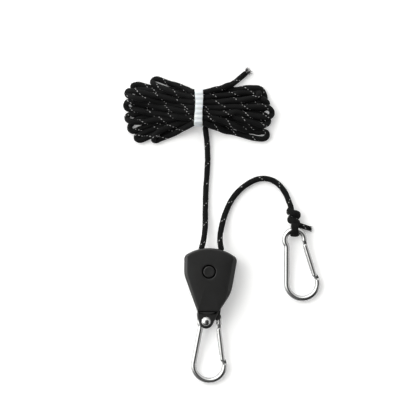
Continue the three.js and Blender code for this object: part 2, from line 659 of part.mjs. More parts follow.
// Hank: the spare rope folded back and forth, drawn as the closed shape that the turns fill.
const hank = new THREE.Group();
hank.position.set(hankPlace.x, hankPlace.y, 0);
hank.rotation.z = radians(hankTurn);
model.add(hank);
const hankRim = [
  [0, 12.2], [-11, 14.2], [-22, 19.4], [-29, 21], [-35, 17], [-43, 15], [-50.2, 9.5], [-50.6, -1],
  [-48.6, -12.5], [-44.5, -21.6], [-36, -23.4], [-26, -21.6], [-14, -15.8], [0, -12.2],
  [12, -15], [22, -19.4], [34, -22.8], [43, -21.8], [48, -14.5], [50.8, -4], [48.6, 4.8], [43, 12.2],
  [33, 15.8], [20, 14.8], [10, 12.8],
];
const hankCurve = new THREE.CatmullRomCurve3(
  hankRim.reverse().map(([x, y]) => new THREE.Vector3(x, y, 0)),
  true,
  'centripetal',
);
const hankOutline = hankCurve.getSpacedPoints(64).slice(0, 64).map((point) => new THREE.Vector2(point.x, point.y));
if (THREE.ShapeUtils.isClockWise(hankOutline)) hankOutline.reverse();

// The band is a flat loop round the waist: a box with rounded corners, less the same box inside it.
function roundedBox(width, height, low, high, radius) {
  const corners = [
    ...arc(new THREE.Vector2(height / 2 - radius, low + radius), radius, 270, 360, 4),
    ...arc(new THREE.Vector2(height / 2 - radius, high - radius), radius, 0, 90, 4),
    ...arc(new THREE.Vector2(radius - height / 2, high - radius), radius, 90, 180, 4),
    ...arc(new THREE.Vector2(radius - height / 2, low + radius), radius, 180, 270, 4),
  ];
  const basis = new THREE.Matrix4().makeBasis(
    new THREE.Vector3(0, 1, 0),
    new THREE.Vector3(0, 0, 1),
    new THREE.Vector3(1, 0, 0),
  );
  return solidOf(prism(corners, -width / 2, width / 2).applyMatrix4(basis));
}
const bandSlot = 2 * clearance;
const bandOuter = roundedBox(bandWidth, bandHeight, 0.05, hankThickness + 0.4, 4);
const bandInner = (extra) => roundedBox(
  bandWidth + extra,
  bandHeight - 2 * bandThickness,
  0.05 + bandThickness,
  hankThickness + 0.4 - bandThickness,
  3.2,
);
const core = roundedBox(
  bandWidth + 2,
  bandHeight - 2 * bandThickness - bandSlot,
  0.05 + bandThickness + clearance,
  hankThickness + 0.4 - bandThickness - clearance,
  3,
);
const bandRoom = box(
  new THREE.Vector3(-bandWidth / 2 - clearance, -half, -1),
  new THREE.Vector3(bandWidth / 2 + clearance, half, half),
);
let hankSolid = solidOf(prism(hankOutline, 0, hankThickness)).subtract(solidOf(bandRoom));
hankSolid = hankSolid.add(core);
place('rope_hank', geometryOf(hankSolid), ropeBlack, hank);
place('hank_band', geometryOf(bandOuter.subtract(bandInner(4))), bandPaper, hank);

// Cut end of the rope: it leaves the hank's upper edge.
const endRoute = [[18.2, 17.0, 2.6], [22, 18.9, 2.1], [27.4, 21.6, 1.95], [33, 24.8, 1.9]];
place('rope_end', swept(curveThrough(endRoute), ropeRadius, 8, 3), ropeBlack, hank);

export default model;
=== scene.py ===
import math

import bpy
import numpy as np
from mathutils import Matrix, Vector


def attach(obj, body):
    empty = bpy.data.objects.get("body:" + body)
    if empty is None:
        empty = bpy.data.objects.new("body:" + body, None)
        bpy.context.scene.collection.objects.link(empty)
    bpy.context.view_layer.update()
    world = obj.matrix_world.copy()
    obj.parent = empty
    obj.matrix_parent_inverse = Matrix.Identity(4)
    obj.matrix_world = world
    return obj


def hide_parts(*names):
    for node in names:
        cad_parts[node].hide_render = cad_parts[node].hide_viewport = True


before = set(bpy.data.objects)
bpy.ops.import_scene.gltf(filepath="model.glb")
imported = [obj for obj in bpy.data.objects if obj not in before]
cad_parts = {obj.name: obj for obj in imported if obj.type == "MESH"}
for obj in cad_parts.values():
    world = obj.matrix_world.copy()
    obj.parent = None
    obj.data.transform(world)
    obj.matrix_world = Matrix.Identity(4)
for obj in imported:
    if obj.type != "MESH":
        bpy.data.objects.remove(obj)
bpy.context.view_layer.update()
scene = bpy.context.scene
mm = 0.001


# -----------------------------------------------------------------------------
# Camera: high above the table, looking straight down, turned a little so that the tied hank lies level.
camera_height = 1.3
camera_turn = math.radians(3.24)
view_middle = np.array([-3.06, 42.2]) * mm
view_width = 277.3 * mm
sharp_height = 6 * mm
sensor_width = 36
camera = bpy.data.objects.new("camera", bpy.data.cameras.new("camera"))
scene.collection.objects.link(camera)
camera.location = (*view_middle, camera_height)
camera.rotation_euler = (0, 0, camera_turn)
camera.data.sensor_width = sensor_width
camera.data.lens = sensor_width * (camera_height - sharp_height) / view_width
scene.camera = camera


# -----------------------------------------------------------------------------
# Rope: a 3.8 mm braid of black polyester over a pale core, sixteen strands with one white marker yarn among them.
# The load leg leaves the housing at the right, comes down to the table and turns over to the knot on its hook.
rope_diameter = 3.8 * mm
rope_radius = rope_diameter / 2
braid_lead = 13.4 * mm
braid_strands = 8


def curve_through(points, step):
    """Points one step apart on the centripetal Catmull-Rom curve through the given points: in each span three
    rounds of linear mixing between neighbouring points, with knots spaced by the root of their distances."""
    p = np.asarray(points, float)
    p = np.vstack([2 * p[0] - p[1], p, 2 * p[-1] - p[-2]])
    t = np.concatenate([[0], np.cumsum(np.linalg.norm(np.diff(p, axis=0), axis=1) ** 0.5)])
    spans = len(p) - 3
    at = t[1:-2, None] + np.diff(t)[1:-1, None] * np.linspace(0, 1, 24, endpoint=False)

    def mixed(a, b, first, last):
        low, high = t[first : first + spans, None], t[last : last + spans, None]
        share = ((at - low) / (high - low))[..., None]
        return a * (1 - share) + b * share

    q = [p[k : k + spans, None] for k in range(4)]
    a = [mixed(q[k], q[k + 1], k, k + 1) for k in range(3)]
    b = [mixed(a[k], a[k + 1], k, k + 2) for k in range(2)]
    line = np.vstack([mixed(b[0], b[1], 1, 2).reshape(-1, 3), p[-2:-1]])
    return evenly(line, step)


def evenly(line, step):
    """The same line with its points one step apart, each mixed between the two that it lies between."""
    run = np.concatenate([[0], np.cumsum(np.linalg.norm(np.diff(line, axis=0), axis=1))])
    places = np.linspace(0, run[-1], max(2, round(run[-1] / step) + 1))
    return np.stack([np.interp(places, run, line[:, k]) for k in range(3)], axis=1)


def unit(v):
    return v / np.linalg.norm(v, axis=-1, keepdims=True)


def run_along(path):
    return np.concatenate([[0], np.cumsum(np.linalg.norm(np.diff(path, axis=0), axis=1))])


def sides_of(path, side=None):
    """Tangent, side and up along a path. A given side is only squared to the tangent. Without one it is carried
    along untwisted: each is the last one less what lies along the new tangent."""
    tangent = unit(np.gradient(path, axis=0))
    if side is not None:
        side = np.broadcast_to(np.asarray(side, float), path.shape)
        side = unit(side - (side * tangent).sum(1)[:, None] * tangent)
        return tangent, side, np.cross(tangent, side)
    side = np.empty_like(path)
    carried = np.cross(tangent[0], [0.2, 0.1, 1])
    for i, along in enumerate(tangent):
        carried = carried - carried.dot(along) * along
        carried = carried / math.sqrt(carried.dot(carried))
        side[i] = carried
    return tangent, side, np.cross(tangent, side)


def tube_points(path, wide, high, columns, side=None, square=1.0):
    """Rings about a path: centre + wide * cos(a) * side + high * sin(a) * up. Below 1, square pushes each ring
    towards a rounded rectangle by raising the cosine and the sine to that power."""
    _, across, up = sides_of(path, side)
    a = np.linspace(0, 2 * np.pi, columns, endpoint=False)
    wide, high, square = (np.broadcast_to(np.asarray(x, float), len(path))[:, None] for x in (wide, high, square))
    c, s = (np.sign(x) * abs(x) ** square for x in (np.cos(a), np.sin(a)))
    return path[:, None] + (wide * c)[..., None] * across[:, None] + (high * s)[..., None] * up[:, None]


class Skin:
    """Surfaces gathered into one mesh. Each is a grid of points: a quad joins two neighbours on a row to the same
    two on the next row. Rows close on themselves, and the first and last row close on a pole or on each other."""

    def __init__(self):
        self.points, self.corners, self.sizes, self.uv, self.finish, self.rub = [], [], [], [], [], []
        self.count = 0

    def add(self, grid, along=None, ring=False, poles=True, finish=0, rub=None):
        rows, columns = grid.shape[:2]
        along = np.zeros(rows) if along is None else along
        index = np.arange(rows * columns).reshape(rows, columns)
        points = grid.reshape(-1, 3)
        rub = np.zeros(rows) if rub is None else rub
        marks = np.repeat(rub, columns)
        if ring:
            index, along = np.vstack([index, index[:1]]), np.append(along, along[-1])
        right = np.roll(index, -1, axis=1)
        quads = np.stack([index[:-1], right[:-1], right[1:], index[1:]], axis=-1).reshape(-1, 4)
        u = np.arange(columns + 1) / columns
        u0, u1 = (np.broadcast_to(edge, (len(along) - 1, columns)) for edge in (u[:-1], u[1:]))
        v0, v1 = (np.repeat(v, columns).reshape(-1, columns) for v in (along[:-1], along[1:]))
        pairs = ((u0, v0), (u1, v0), (u1, v1), (u0, v1))
        quad_uv = np.stack([np.stack(pair, -1) for pair in pairs], 2).reshape(-1, 2)
        corners, sizes, uv = [quads.ravel()], [np.full(len(quads), 4)], [quad_uv]
        if poles and not ring:
            base = rows * columns
            points = np.vstack([points, grid[0].mean(0), grid[-1].mean(0)])
            marks = np.append(marks, [rub[0], rub[-1]])
            first, last = index[0], index[-1]
            head = np.stack([np.full(columns, base), np.roll(first, -1), first], 1)
            foot = np.stack([last, np.roll(last, -1), np.full(columns, base + 1)], 1)
            for three, v in ((head, along[0]), (foot, along[-1])):
                corners.append(three.ravel())
                sizes.append(np.full(columns, 3))
                uv.append(np.stack([np.repeat(u[:-1], 3), np.full(3 * columns, v)], 1))
        corners, sizes, uv = np.concatenate(corners), np.concatenate(sizes), np.concatenate(uv)
        starts = np.cumsum(sizes) - sizes
        a, b, c = (points[corners[starts + k]] for k in (0, 1, 2))
        d = points[corners[starts + sizes - 1]]
        if (np.cross(a, b) * c).sum() + (np.cross(a, c) * d).sum() < 0:
            turned = np.repeat(starts + sizes - 1, sizes) - (np.arange(len(corners)) - np.repeat(starts, sizes))
            corners, uv = corners[turned], uv[turned]
        self.points.append(points)
        self.rub.append(marks)
        self.corners.append(corners + self.count)
        self.sizes.append(sizes)
        self.uv.append(uv)
        self.finish.append(np.full(len(sizes), finish))
        self.count += len(points)
        return self

    def piece(self, name, body, slot, materials, replaces=(), crease=None):
        """Makes the mesh, in its place, and lets it ride on a body of the CAD model."""
        mesh = bpy.data.meshes.new(name)
        points, sizes = np.concatenate(self.points), np.concatenate(self.sizes)
        corners = np.concatenate(self.corners)
        mesh.vertices.add(len(points))
        mesh.vertices.foreach_set("co", points.astype(np.float32).ravel())
        mesh.loops.add(len(corners))
        mesh.loops.foreach_set("vertex_index", corners.astype(np.int32))
        mesh.polygons.add(len(sizes))
        mesh.polygons.foreach_set("loop_start", (np.cumsum(sizes) - sizes).astype(np.int32))
        mesh.polygons.foreach_set("material_index", np.concatenate(self.finish).astype(np.int32))
        mesh.update(calc_edges=True)
        uv = np.concatenate(self.uv).astype(np.float32)
        mesh.uv_layers.new(name="UVMap").uv.foreach_set("vector", uv.ravel())
        mesh.attributes.new("rub", "FLOAT", "POINT").data.foreach_set(
            "value", np.concatenate(self.rub).astype(np.float32)
        )
        mesh.shade_smooth()
        if crease is not None:
            mesh.set_sharp_from_angle(angle=math.radians(crease))
        for material in materials:
            mesh.materials.append(material)
        made = bpy.data.objects.new(name, mesh)
        scene.collection.objects.link(made)
        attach(made, body)
        if replaces:
            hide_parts(*replaces)
        return made


class Wire:
    """A value inside a shader. Arithmetic on it adds Math nodes."""

    def __init__(self, shader, socket):
        self.shader, self.socket = shader, socket

    def sum(self, operation, *others):
        return self.shader.node("Math", {"operation": operation}, dict(enumerate((self, *others))))

    def __add__(self, other):
        return self.sum("ADD", other)

    __radd__ = __add__

    def __sub__(self, other):
        return self.sum("SUBTRACT", other)

    def __rsub__(self, other):
        return self.shader.node("Math", {"operation": "SUBTRACT"}, {0: other, 1: self})

    def __mul__(self, other):
        return self.sum("MULTIPLY", other)

    __rmul__ = __mul__

    def __pow__(self, other):
        return self.sum("POWER", other)


class Shader:
    """One material. Constants go straight on the surface's sockets, and node() adds any other node."""

    def __init__(self, name, owner=None, **constants):
        self.material = owner or bpy.data.materials.new(name)
        self.material.use_nodes = True
        self.nodes, self.links = self.material.node_tree.nodes, self.material.node_tree.links
        self.surface = self.nodes["Background" if owner else "Principled BSDF"]
        self.feed(self.surface, {k.replace("_", " "): v for k, v in constants.items()})

    def feed(self, node, values):
        for socket, value in values.items():
            if isinstance(value, Wire):
                self.links.new(value.socket, node.inputs[socket])
            else:
                node.inputs[socket].default_value = value

    def node(self, kind, settings=None, values=None, out=0):
        made = self.nodes.new("ShaderNode" + kind)
        for key, value in (settings or {}).items():
            setattr(made, key, value)
        self.feed(made, values or {})
        return Wire(self, made.outputs[out])

    def mix(self, share, a, b):
        """Colour a where share is 0, and b where it is 1."""
        return self.node("Mix", {"data_type": "RGBA"}, {0: share, 6: a, 7: b}, out=2)

    def noise(self, where, scale, detail=2, roughness=0.5):
        values = {"Vector": where, "Scale": scale, "Detail": detail, "Roughness": roughness}
        return self.node("TexNoise", None, values)

    def bump(self, height, distance, strength=1.0):
        """Relief: height is 0 to 1, and distance is how tall 1 stands, in metres."""
        self.set(Normal=self.node("Bump", None, {"Height": height, "Distance": distance, "Strength": strength}))

    def uv_place(self):
        """The two values of the piece's own map: the share of a turn round it, and the metres along it."""
        split = self.node("SeparateXYZ", None, {0: self.node("UVMap", {"uv_map": "UVMap"})})
        return split, Wire(self, split.socket.node.outputs[1])

    def object_place(self):
        return self.node("TexCoord", None, None, out=3)

    def set(self, **values):
        self.feed(self.surface, {k.replace("_", " "): v for k, v in values.items()})


def grey(level, warmth=0.0):
    return (level * (1 + warmth), level, level * (1 - warmth), 1)


def rope_shader():
    """Black braid. Two families of strands wind opposite ways, eight each. In every cell where two cross, one
    stands on top: its height is the sine across its width, and the two families take turns like a chessboard.
    The colour follows that height as well as fibre and lint noise: painted shade darkens the gaps between
    strands and painted highlight lightens their tops."""
    made = Shader("rope braid", Sheen_Weight=0.02, Sheen_Roughness=0.45, Specular_IOR_Level=0.07)
    around, along = made.uv_place()
    around, along = around * braid_strands, along * (braid_strands / braid_lead)
    left, right = around + along, around - along
    across_left, across_right = left.sum("FRACT"), right.sum("FRACT")
    turn = ((left.sum("FLOOR") + right.sum("FLOOR")) * 0.5).sum("FRACT") * 2
    hump_left = (across_left * math.pi).sum("SINE")
    hump_right = (across_right * math.pi).sum("SINE")
    top = hump_left * (1 - turn) + hump_right * turn
    under = hump_right * (1 - turn) + hump_left * turn
    height = (top ** 0.6) * (0.55 + 0.45 * under)
    fibres = made.noise(made.object_place(), 2600, 3, 0.6)
    lint = made.noise(made.object_place(), 130, 2, 0.6)
    relief = height * 0.85 + fibres * 0.15
    made.bump(relief, 0.22 * mm, 0.9)
    # Colour from the braid height is painted shade in the gaps between strands and painted highlight on their tops;
    # the fibre and lint noise is the yarn's own uneven tone.
    shade = height * 0.55 + fibres * 0.25 + lint * 0.35
    made.set(Base_Color=made.mix(shade, grey(0.0011), grey(0.0085, -0.02)), Roughness=0.62 + 0.2 * fibres)
    return made.material


def marker_shader():
    """White marker yarn: bright, a little worn and grey in places, with fine threads along it."""
    made = Shader("marker yarn", Specular_IOR_Level=0.5)
    threads = made.noise(made.object_place(), 3000, 2)
    wear = made.noise(made.object_place(), 240, 2)
    made.set(Base_Color=made.mix(wear * 0.9, grey(0.1), grey(0.62)), Roughness=0.4 + 0.3 * threads)
    made.bump(threads, 0.05 * mm)
    return made.material


rope_braid, marker_yarn = rope_shader(), marker_shader()
lots = np.random.default_rng(11)
fleck_length, fleck_gap = 1.25 * mm, 0.98 * mm
fleck_wide, fleck_high = 0.3 * mm, 0.17 * mm
yarn_stretch = 1.34  # length of the winding yarn for each length of rope


def rope_skin(skin, path, radius=rope_radius, columns=18, start=0.0, side=None, square=1.0, wide=None):
    """A length of rope. Its surface swells and narrows by a few hundredths, and its ends are domes. The marker
    yarn winds once round in each braid lead, and shows as a short pill wherever it stands on top."""
    run = run_along(path)
    lumps = 1 + 0.018 * np.sin(run * 900 + 2 * np.sin(run * 210)) + 0.014 * np.sin(run * 330 + 1.3)
    high = np.broadcast_to(radius, len(path)) * lumps
    across = high if wide is None else np.broadcast_to(wide, len(path)) * lumps
    ends = np.minimum(run, run[-1] - run) / (0.6 * rope_radius)
    dome = np.sqrt(np.clip(1 - (1 - np.clip(ends, 0, 1)) ** 2, 0.02, 1))
    rings = tube_points(path, across * dome, high * dome, columns, side, square)
    skin.add(rings, along=run + start, finish=0)
    places = np.arange(0.4 * fleck_gap, run[-1] - 0.5 * mm, (fleck_length + fleck_gap) / yarn_stretch)
    places = places + lots.uniform(-0.12, 0.12, len(places)) * mm
    places = places[lots.random(len(places)) > 0.12]
    lengths = fleck_length * lots.uniform(0.65, 1.15, len(places))
    _, across_dir, up = sides_of(path, side)
    steps = np.linspace(-0.5, 0.5, 5)
    climb = 2 * np.pi / braid_lead
    on = places[:, None] + steps * lengths[:, None] / yarn_stretch
    turn = climb * (on + start)
    centre, s_dir, u_dir, tall, broad = (
        np.stack([np.interp(on, run, x[:, k]) for k in range(x.shape[1])], -1)
        for x in (path, across_dir, up, high[:, None], across[:, None])
    )
    c, s = np.cos(turn)[..., None], np.sin(turn)[..., None]
    if square != 1.0:
        c, s = np.sign(c) * abs(c) ** square, np.sign(s) * abs(s) ** square
    out = unit(c * s_dir * tall + s * u_dir * broad)
    seat = centre + broad * c * s_dir + tall * s * u_dir - 0.02 * mm * out
    ahead = unit(np.gradient(seat, axis=1))
    beside = np.cross(ahead, out)
    a = np.linspace(0, 2 * np.pi, 5, endpoint=False)[:, None]
    full = np.sqrt(1 - (2 * steps) ** 2 * 0.97)[None, :, None, None]
    pills = seat[:, :, None] + full * (
        fleck_wide * np.cos(a) * beside[:, :, None] + fleck_high * np.sin(a) * out[:, :, None]
    )
    for pill in pills:
        skin.add(pill, finish=1)
    return skin


def rope_piece(skin, name, *replaces):
    return skin.piece(name, "housing", "rope_black", [rope_braid, marker_yarn], replaces)


load_route = [
    [7.6, 13.9, 7.1], [7.3, 15.25, 7.1], [6.3, 19.7, 6.7], [6.05, 25, 5.5], [6.8, 30.4, 4.1], [7.8, 35.8, 2.9],
    [9.4, 41.3, 2.2], [11.6, 46.8, 1.95], [14.8, 52.2, 1.9], [20.1, 57.9, 1.9], [27.2, 62.6, 1.9],
    [32.6, 64, 1.9], [37.2, 63.6, 1.9], [41.2, 62, 1.95], [44.8, 59.1, 2.1], [48.4, 54.4, 2.6],
    [50.8, 49.2, 3.5], [52.0, 46.4, 4.1], [52.5, 44.1, 4.5], [53.2, 41.7, 4.9],
]
rope_step = 0.85 * mm
load_path = curve_through(np.array(load_route) * mm, rope_step)
load_leg = rope_piece(rope_skin(Skin(), load_path, start=2 * mm), "load_leg", "rope_load_leg")


# -----------------------------------------------------------------------------
# Rope inside the housing: straight in from each port, and round under the wheel in its groove.
wrap_radius, wrap_height = 9, 7.1
left_port, right_port = np.array([-5.9, 14.91]), np.array([7.4, 14.86])


def touch_angle(port, way):
    """Where a straight rope from a port meets the wheel: the port's bearing, and the turn whose cosine is the
    wrap radius over the port's distance."""
    return math.atan2(port[1], port[0]) + way * math.acos(wrap_radius / np.hypot(*port))


left_touch, right_touch = touch_angle(left_port, 1), touch_angle(right_port, -1)
wrap = np.linspace(left_touch, right_touch + 2 * math.pi, 24)
wrap_line = np.stack([wrap_radius * np.cos(wrap), wrap_radius * np.sin(wrap)], 1)
inner_line = np.vstack([left_port - (0.1, 0.5), (left_port + wrap_line[0]) / 2, wrap_line,
                        (right_port + wrap_line[-1]) / 2, right_port - (-0.1, 0.5)])
inner_route = np.column_stack([inner_line, np.full(len(inner_line), wrap_height)])
inner_rope = rope_skin(Skin(), curve_through(inner_route * mm, rope_step))
rope_piece(inner_rope, "rope_round_wheel", "rope_in_housing")


# -----------------------------------------------------------------------------
# Spare rope: the free leg leaves the housing at the left, runs along the table and under the hank. There the rope
# is folded back and forth ten times, three layers deep, and squeezed at the waist by the band.
hank_at, hank_turn = np.array([-13.0, 108.6, 0]), camera_turn
free_route = [
    [-6.15, 13.9, 7.1], [-5.85, 15.25, 7.1], [-5.0, 19.1, 6.7], [-4.45, 24, 5.7], [-4.2, 29, 4.4], [-4.4, 34.5, 3.1],
    [-4.75, 40, 2.3], [-5.0, 47, 1.95], [-5.2, 55, 1.9], [-5.05, 64, 1.9], [-5.05, 74, 1.9],
    [-5.8, 83, 1.95], [-6.6, 88.6, 2.2], [-7.3, 92.3, 2.5], [-7.75, 95.0, 2.8],
]


def turned(points, at, angle):
    """Points given in a group's own frame, turned about +Z and moved to the group's place, in millimetres."""
    x, y, z = np.moveaxis(np.asarray(points, float), -1, 0)
    c, s = math.cos(angle), math.sin(angle)
    return np.stack([c * x - s * y, s * x + c * y, z], -1) + np.asarray(at)


def unturned(points, at, angle):
    return turned(np.asarray(points, float) - np.asarray(at), (0, 0, 0), -angle)


# In the hank's frame, millimetres: x along the folds, y across. Strands through the waist, in the order that the
# rope runs: the bottom layer from the near side up, the middle layer back down, and the top layer up again.
strand_pitch = 3.25
layer_heights = (2.9, 6.2, 9.5)
strand_rows = [
    (np.arange(7) - 3) * strand_pitch,
    (np.arange(6) - 2.5)[::-1] * strand_pitch,
    (np.arange(7) - 3) * strand_pitch,
]
strands = [(y, z) for row, z in zip(strand_rows, layer_heights) for y in row]
# Each fold: its outermost point, the way that it points in degrees, half the gap between its two strands, and
# the height of the strand that comes in and of the one that goes back.
left_folds = [
    (-43.6, -21.4, 208, 2.7, 2.0, 2.2),
    (-48.2, -14.4, 199, 3.8, 1.9, 2.2),
    (-44.0, 9.0, 170, 2.6, 1.9, 2.0),
    (-46.5, 14.0, 166, 2.1, 3.4, 5.6),
    (-47.5, 5.0, 176, 2.6, 5.4, 5.6),
    (-50.6, -7.2, 187, 3.2, 4.6, 5.2),
    (-32.6, -22.3, 213, 2.2, 4.4, 6.2),
    (-51.3, 1.5, 181, 3.6, 7.4, 7.6),
    (-50.9, 10.6, 170, 2.5, 7.4, 7.2),
    (-33.0, 19.0, 154, 3.1, 7.2, 6.2),
]
right_folds = [
    (38.5, -9.5, -14, 2.9, 1.9, 2.0),
    (44.5, -7.5, -9, 2.9, 2.0, 2.0),
    (45.0, -0.5, -2, 2.9, 2.0, 2.0),
    (46.5, 8.6, 8, 5.4, 2.6, 3.0),
    (48.9, 1.4, -4, 3.1, 5.2, 5.4),
    (49.2, -9.2, -11, 3.0, 5.4, 5.2),
    (46.0, -12.2, -15, 2.8, 5.0, 4.8),
    (48.2, -18.1, -3, 3.15, 4.5, 4.8),
    (51.8, -3.8, -5, 3.2, 7.6, 7.8),
    (43.6, 8.6, 6, 2.7, 8.0, 8.2),
]
end_route = [
    [8, 10.9, 9.0], [12.5, 11.9, 8.4], [17, 13.2, 6.8], [21.5, 15.2, 4.6], [25.4, 18.1, 2.9], [28.6, 20.9, 2.1],
    [32.2, 23.9, 1.9],
]
waist_fan = {-1: 0.03, 1: 0.018}


def leg(start, start_way, finish, finish_way, count=14):
    """A cubic between two points that leaves and arrives along the given directions, weighted by the span."""
    start, finish = np.asarray(start, float), np.asarray(finish, float)
    span = 0.9 * np.linalg.norm(finish - start)
    t = np.linspace(0, 1, count, endpoint=False)[:, None]
    h = (2 * t**3 - 3 * t**2 + 1, t**3 - 2 * t**2 + t, 3 * t**2 - 2 * t**3, t**3 - t**2)
    start_way, finish_way = np.asarray(start_way), np.asarray(finish_way)
    return h[0] * start + h[1] * span * start_way + h[2] * finish + h[3] * span * finish_way


def fold(record, upper_first):
    """The half circle of one fold: centre + gap * (cos(p) * side + sin(p) * way), p from 0 to pi, and the heights
    mixed along it. Returns its points and the way that it points."""
    x, y, degrees, gap, height_in, height_out = record
    way = np.array([math.cos(math.radians(degrees)), math.sin(math.radians(degrees)), 0])
    side = np.array([-way[1], way[0], 0]) * np.sign(way[0])
    side = side if upper_first else -side
    middle = np.array([x, y, 0]) - way * (gap + rope_radius / mm)
    p = np.linspace(0, np.pi, 9)[:, None]
    arc = middle + gap * (np.cos(p) * side + np.sin(p) * way)
    arc[:, 2:] = height_in + (height_out - height_in) * (1 - np.cos(p)) / 2
    return arc, way


def fanned(heading, end, y):
    """The direction of a strand at the waist, where the strands fan out towards each end of the hank."""
    return unit(np.array([heading, heading * end * waist_fan[end] * y, 0]))


def hank_line():
    """The whole folded run in the order that the rope takes: fold at the right, through the waist, fold at the
    left, and through the waist again."""
    line = [unturned(np.array(free_route), hank_at, hank_turn), [[4.9, -10.9, 2.6], [6.7, -8.2, 2.2]]]
    here, way = np.array([9.5, -6.7, 2.0]), np.array([1.0, 0.25, 0])
    half_waist = 2.9
    for k in range(10):
        y_in, z_in = strands[2 * k]
        before = here[1]
        arc, out = fold(right_folds[k], before > y_in)
        line += [leg(here, unit(way), arc[0], out), arc[:-1]]
        inward = np.array([half_waist, y_in, z_in])
        line += [leg(arc[-1], -out, inward, fanned(-1, 1, y_in))]
        y_out, z_out = strands[2 * k + 1]
        arc, out = fold(left_folds[k], y_in > y_out)
        line += [leg(inward * (-1, 1, 1), fanned(-1, -1, y_in), arc[0], out), arc[:-1]]
        here, way = np.array([half_waist, y_out, z_out]), fanned(1, 1, y_out)
        line += [leg(arc[-1], -out, here * (-1, 1, 1), fanned(1, -1, y_out))]
    line += [[here], end_route]
    return np.vstack(line)


def settle(line, rounds=260):
    """Lets the folded rope find room. Each round: points sink a little; any two parts of the rope nearer than a
    diameter push each other apart; neighbours return to their spacing; sharp corners ease; the table and the
    band hold; and every point is drawn back towards its own place across the table, weakly."""
    spacing, lowest, fixed_run, nearby = 1.9, 1.9, 80, 6
    sink, push_share, pull_share, ease_share = 0.05, 0.42, 0.33, 0.16
    p = evenly(line, spacing)
    home = p.copy()
    count = len(p)
    thick, squeezed = 3.72, 3.3
    fixed = np.arange(count) < round(fixed_run / spacing)
    tail = np.arange(count) > count - 9
    at_waist = (abs(p[:, 0]) < 5) & ~fixed
    far = np.triu(np.ones((count, count), bool), 3)
    for k in range(rounds):
        if k % 10 == 0:
            gaps = ((p[:, None] - p[None]) ** 2).sum(-1)
            i, j = np.nonzero((gaps < nearby**2) & far)
            i, j = i[j - i > 3], j[j - i > 3]
        settle_share = 1 - k / rounds
        p[:, 2] -= np.where(fixed | tail, 0, sink)
        apart = p[j] - p[i]
        near = np.linalg.norm(apart, axis=1)
        least = np.where(at_waist[i] & at_waist[j], squeezed, thick)
        push = np.clip(least - near, 0, None) / np.maximum(near, 1e-6)
        push = (push_share * push)[:, None] * apart
        moved = np.stack([
            np.bincount(j, push[:, c], count) - np.bincount(i, push[:, c], count) for c in range(3)
        ], 1)
        touches = np.bincount(i, push.any(1), count) + np.bincount(j, push.any(1), count)
        p += np.where(fixed[:, None], 0, moved / np.maximum(1, touches * 0.6)[:, None])
        for _ in range(3):
            step = np.diff(p, axis=0)
            size = np.linalg.norm(step, axis=1, keepdims=True)
            pull = pull_share * step * (size - spacing) / size
            p[:-1] += np.where(fixed[:-1, None], 0, pull)
            p[1:] -= np.where(fixed[1:, None], 0, pull)
        eased = (p[:-2] + p[2:]) / 2 - p[1:-1]
        p[1:-1] += np.where(fixed[1:-1, None], 0, ease_share * eased)
        draw = np.where(at_waist, 0.2, 0.035)[:, None] * (home - p)
        draw[:, 2] *= np.where(at_waist, 1.0, 0.1 * settle_share)
        p += np.where(fixed[:, None], 0, draw)
        p[:, 2] = np.where(fixed, p[:, 2], np.maximum(p[:, 2], lowest))
        p[tail] = home[tail]
    return p


hank_mm = settle(hank_line())
spare_path = curve_through(turned(hank_mm, hank_at, hank_turn) * mm, rope_step)
spare_skin = rope_skin(Skin(), spare_path, columns=16, start=5 * mm)
spare_rope = rope_piece(spare_skin, "spare_rope", "rope_free_leg", "rope_hank", "rope_end")


# -----------------------------------------------------------------------------
# Cut ends: the braid was cut with scissors and has opened. A tuft of fine black threads stands out of each end,
# with a few pale core threads among them.
def thread_shader():
    made = Shader("black threads", Roughness=0.6, Sheen_Weight=0.05, Specular_IOR_Level=0.2)
    made.set(Base_Color=made.mix(made.noise(made.object_place(), 900, 2), grey(0.004), grey(0.03)))
    return made.material


black_thread = thread_shader()


def tuft(name, path, threads, reach, spread, pale):
    """Threads from the end of a rope: start + reach * t * way + spread * t^2 * sideways, thin tubes that taper to
    nothing, from random places in the rope's section."""
    _, across, up = sides_of(path)
    way, end = unit(path[-1] - path[-4]), path[-1]
    skin = Skin()
    t = np.linspace(0, 1, 7)[:, None]
    for k in range(threads):
        turn, out = lots.uniform(0, 2 * np.pi), math.sqrt(lots.uniform(0.05, 1))
        away = math.cos(turn) * across[-1] + math.sin(turn) * up[-1] * 0.8
        lean = unit(away + lots.normal(0, 0.45, 3))
        root = end - way * 1.1 * mm + away * out * 0.82 * rope_radius
        line = root + way * t * reach * lots.uniform(0.55, 1.1) + lean * t**2 * spread * out * lots.uniform(0.3, 1.2)
        line[:, 2] = np.maximum(line[:, 2], 0.2 * mm)
        thick = lots.uniform(0.1, 0.19) * mm * (1 - 0.75 * t[:, 0])
        skin.add(tube_points(line, thick, thick, 5), finish=int(lots.random() < pale))
    return skin.piece(name, "housing", "rope_black", [black_thread, marker_yarn])


end_tuft = tuft("cut_end_threads", spare_path, 110, 3.6 * mm, 3.2 * mm, 0.22)


# -----------------------------------------------------------------------------
# Knot: the load leg comes down through two turns of itself, opens flat over the small bow of the rope hook,
# comes back under it and makes the two turns, and its cut end pokes out at the right.
knot_at, knot_turn = np.array([55.85, 24.33, 0]), camera_turn
bow_middle_y, loop_middle_z, loop_radius = 6.57, 5.1, 3.5


def in_knot(points, step=0.5 * mm):
    return curve_through(turned(points, knot_at, knot_turn) * mm, step)


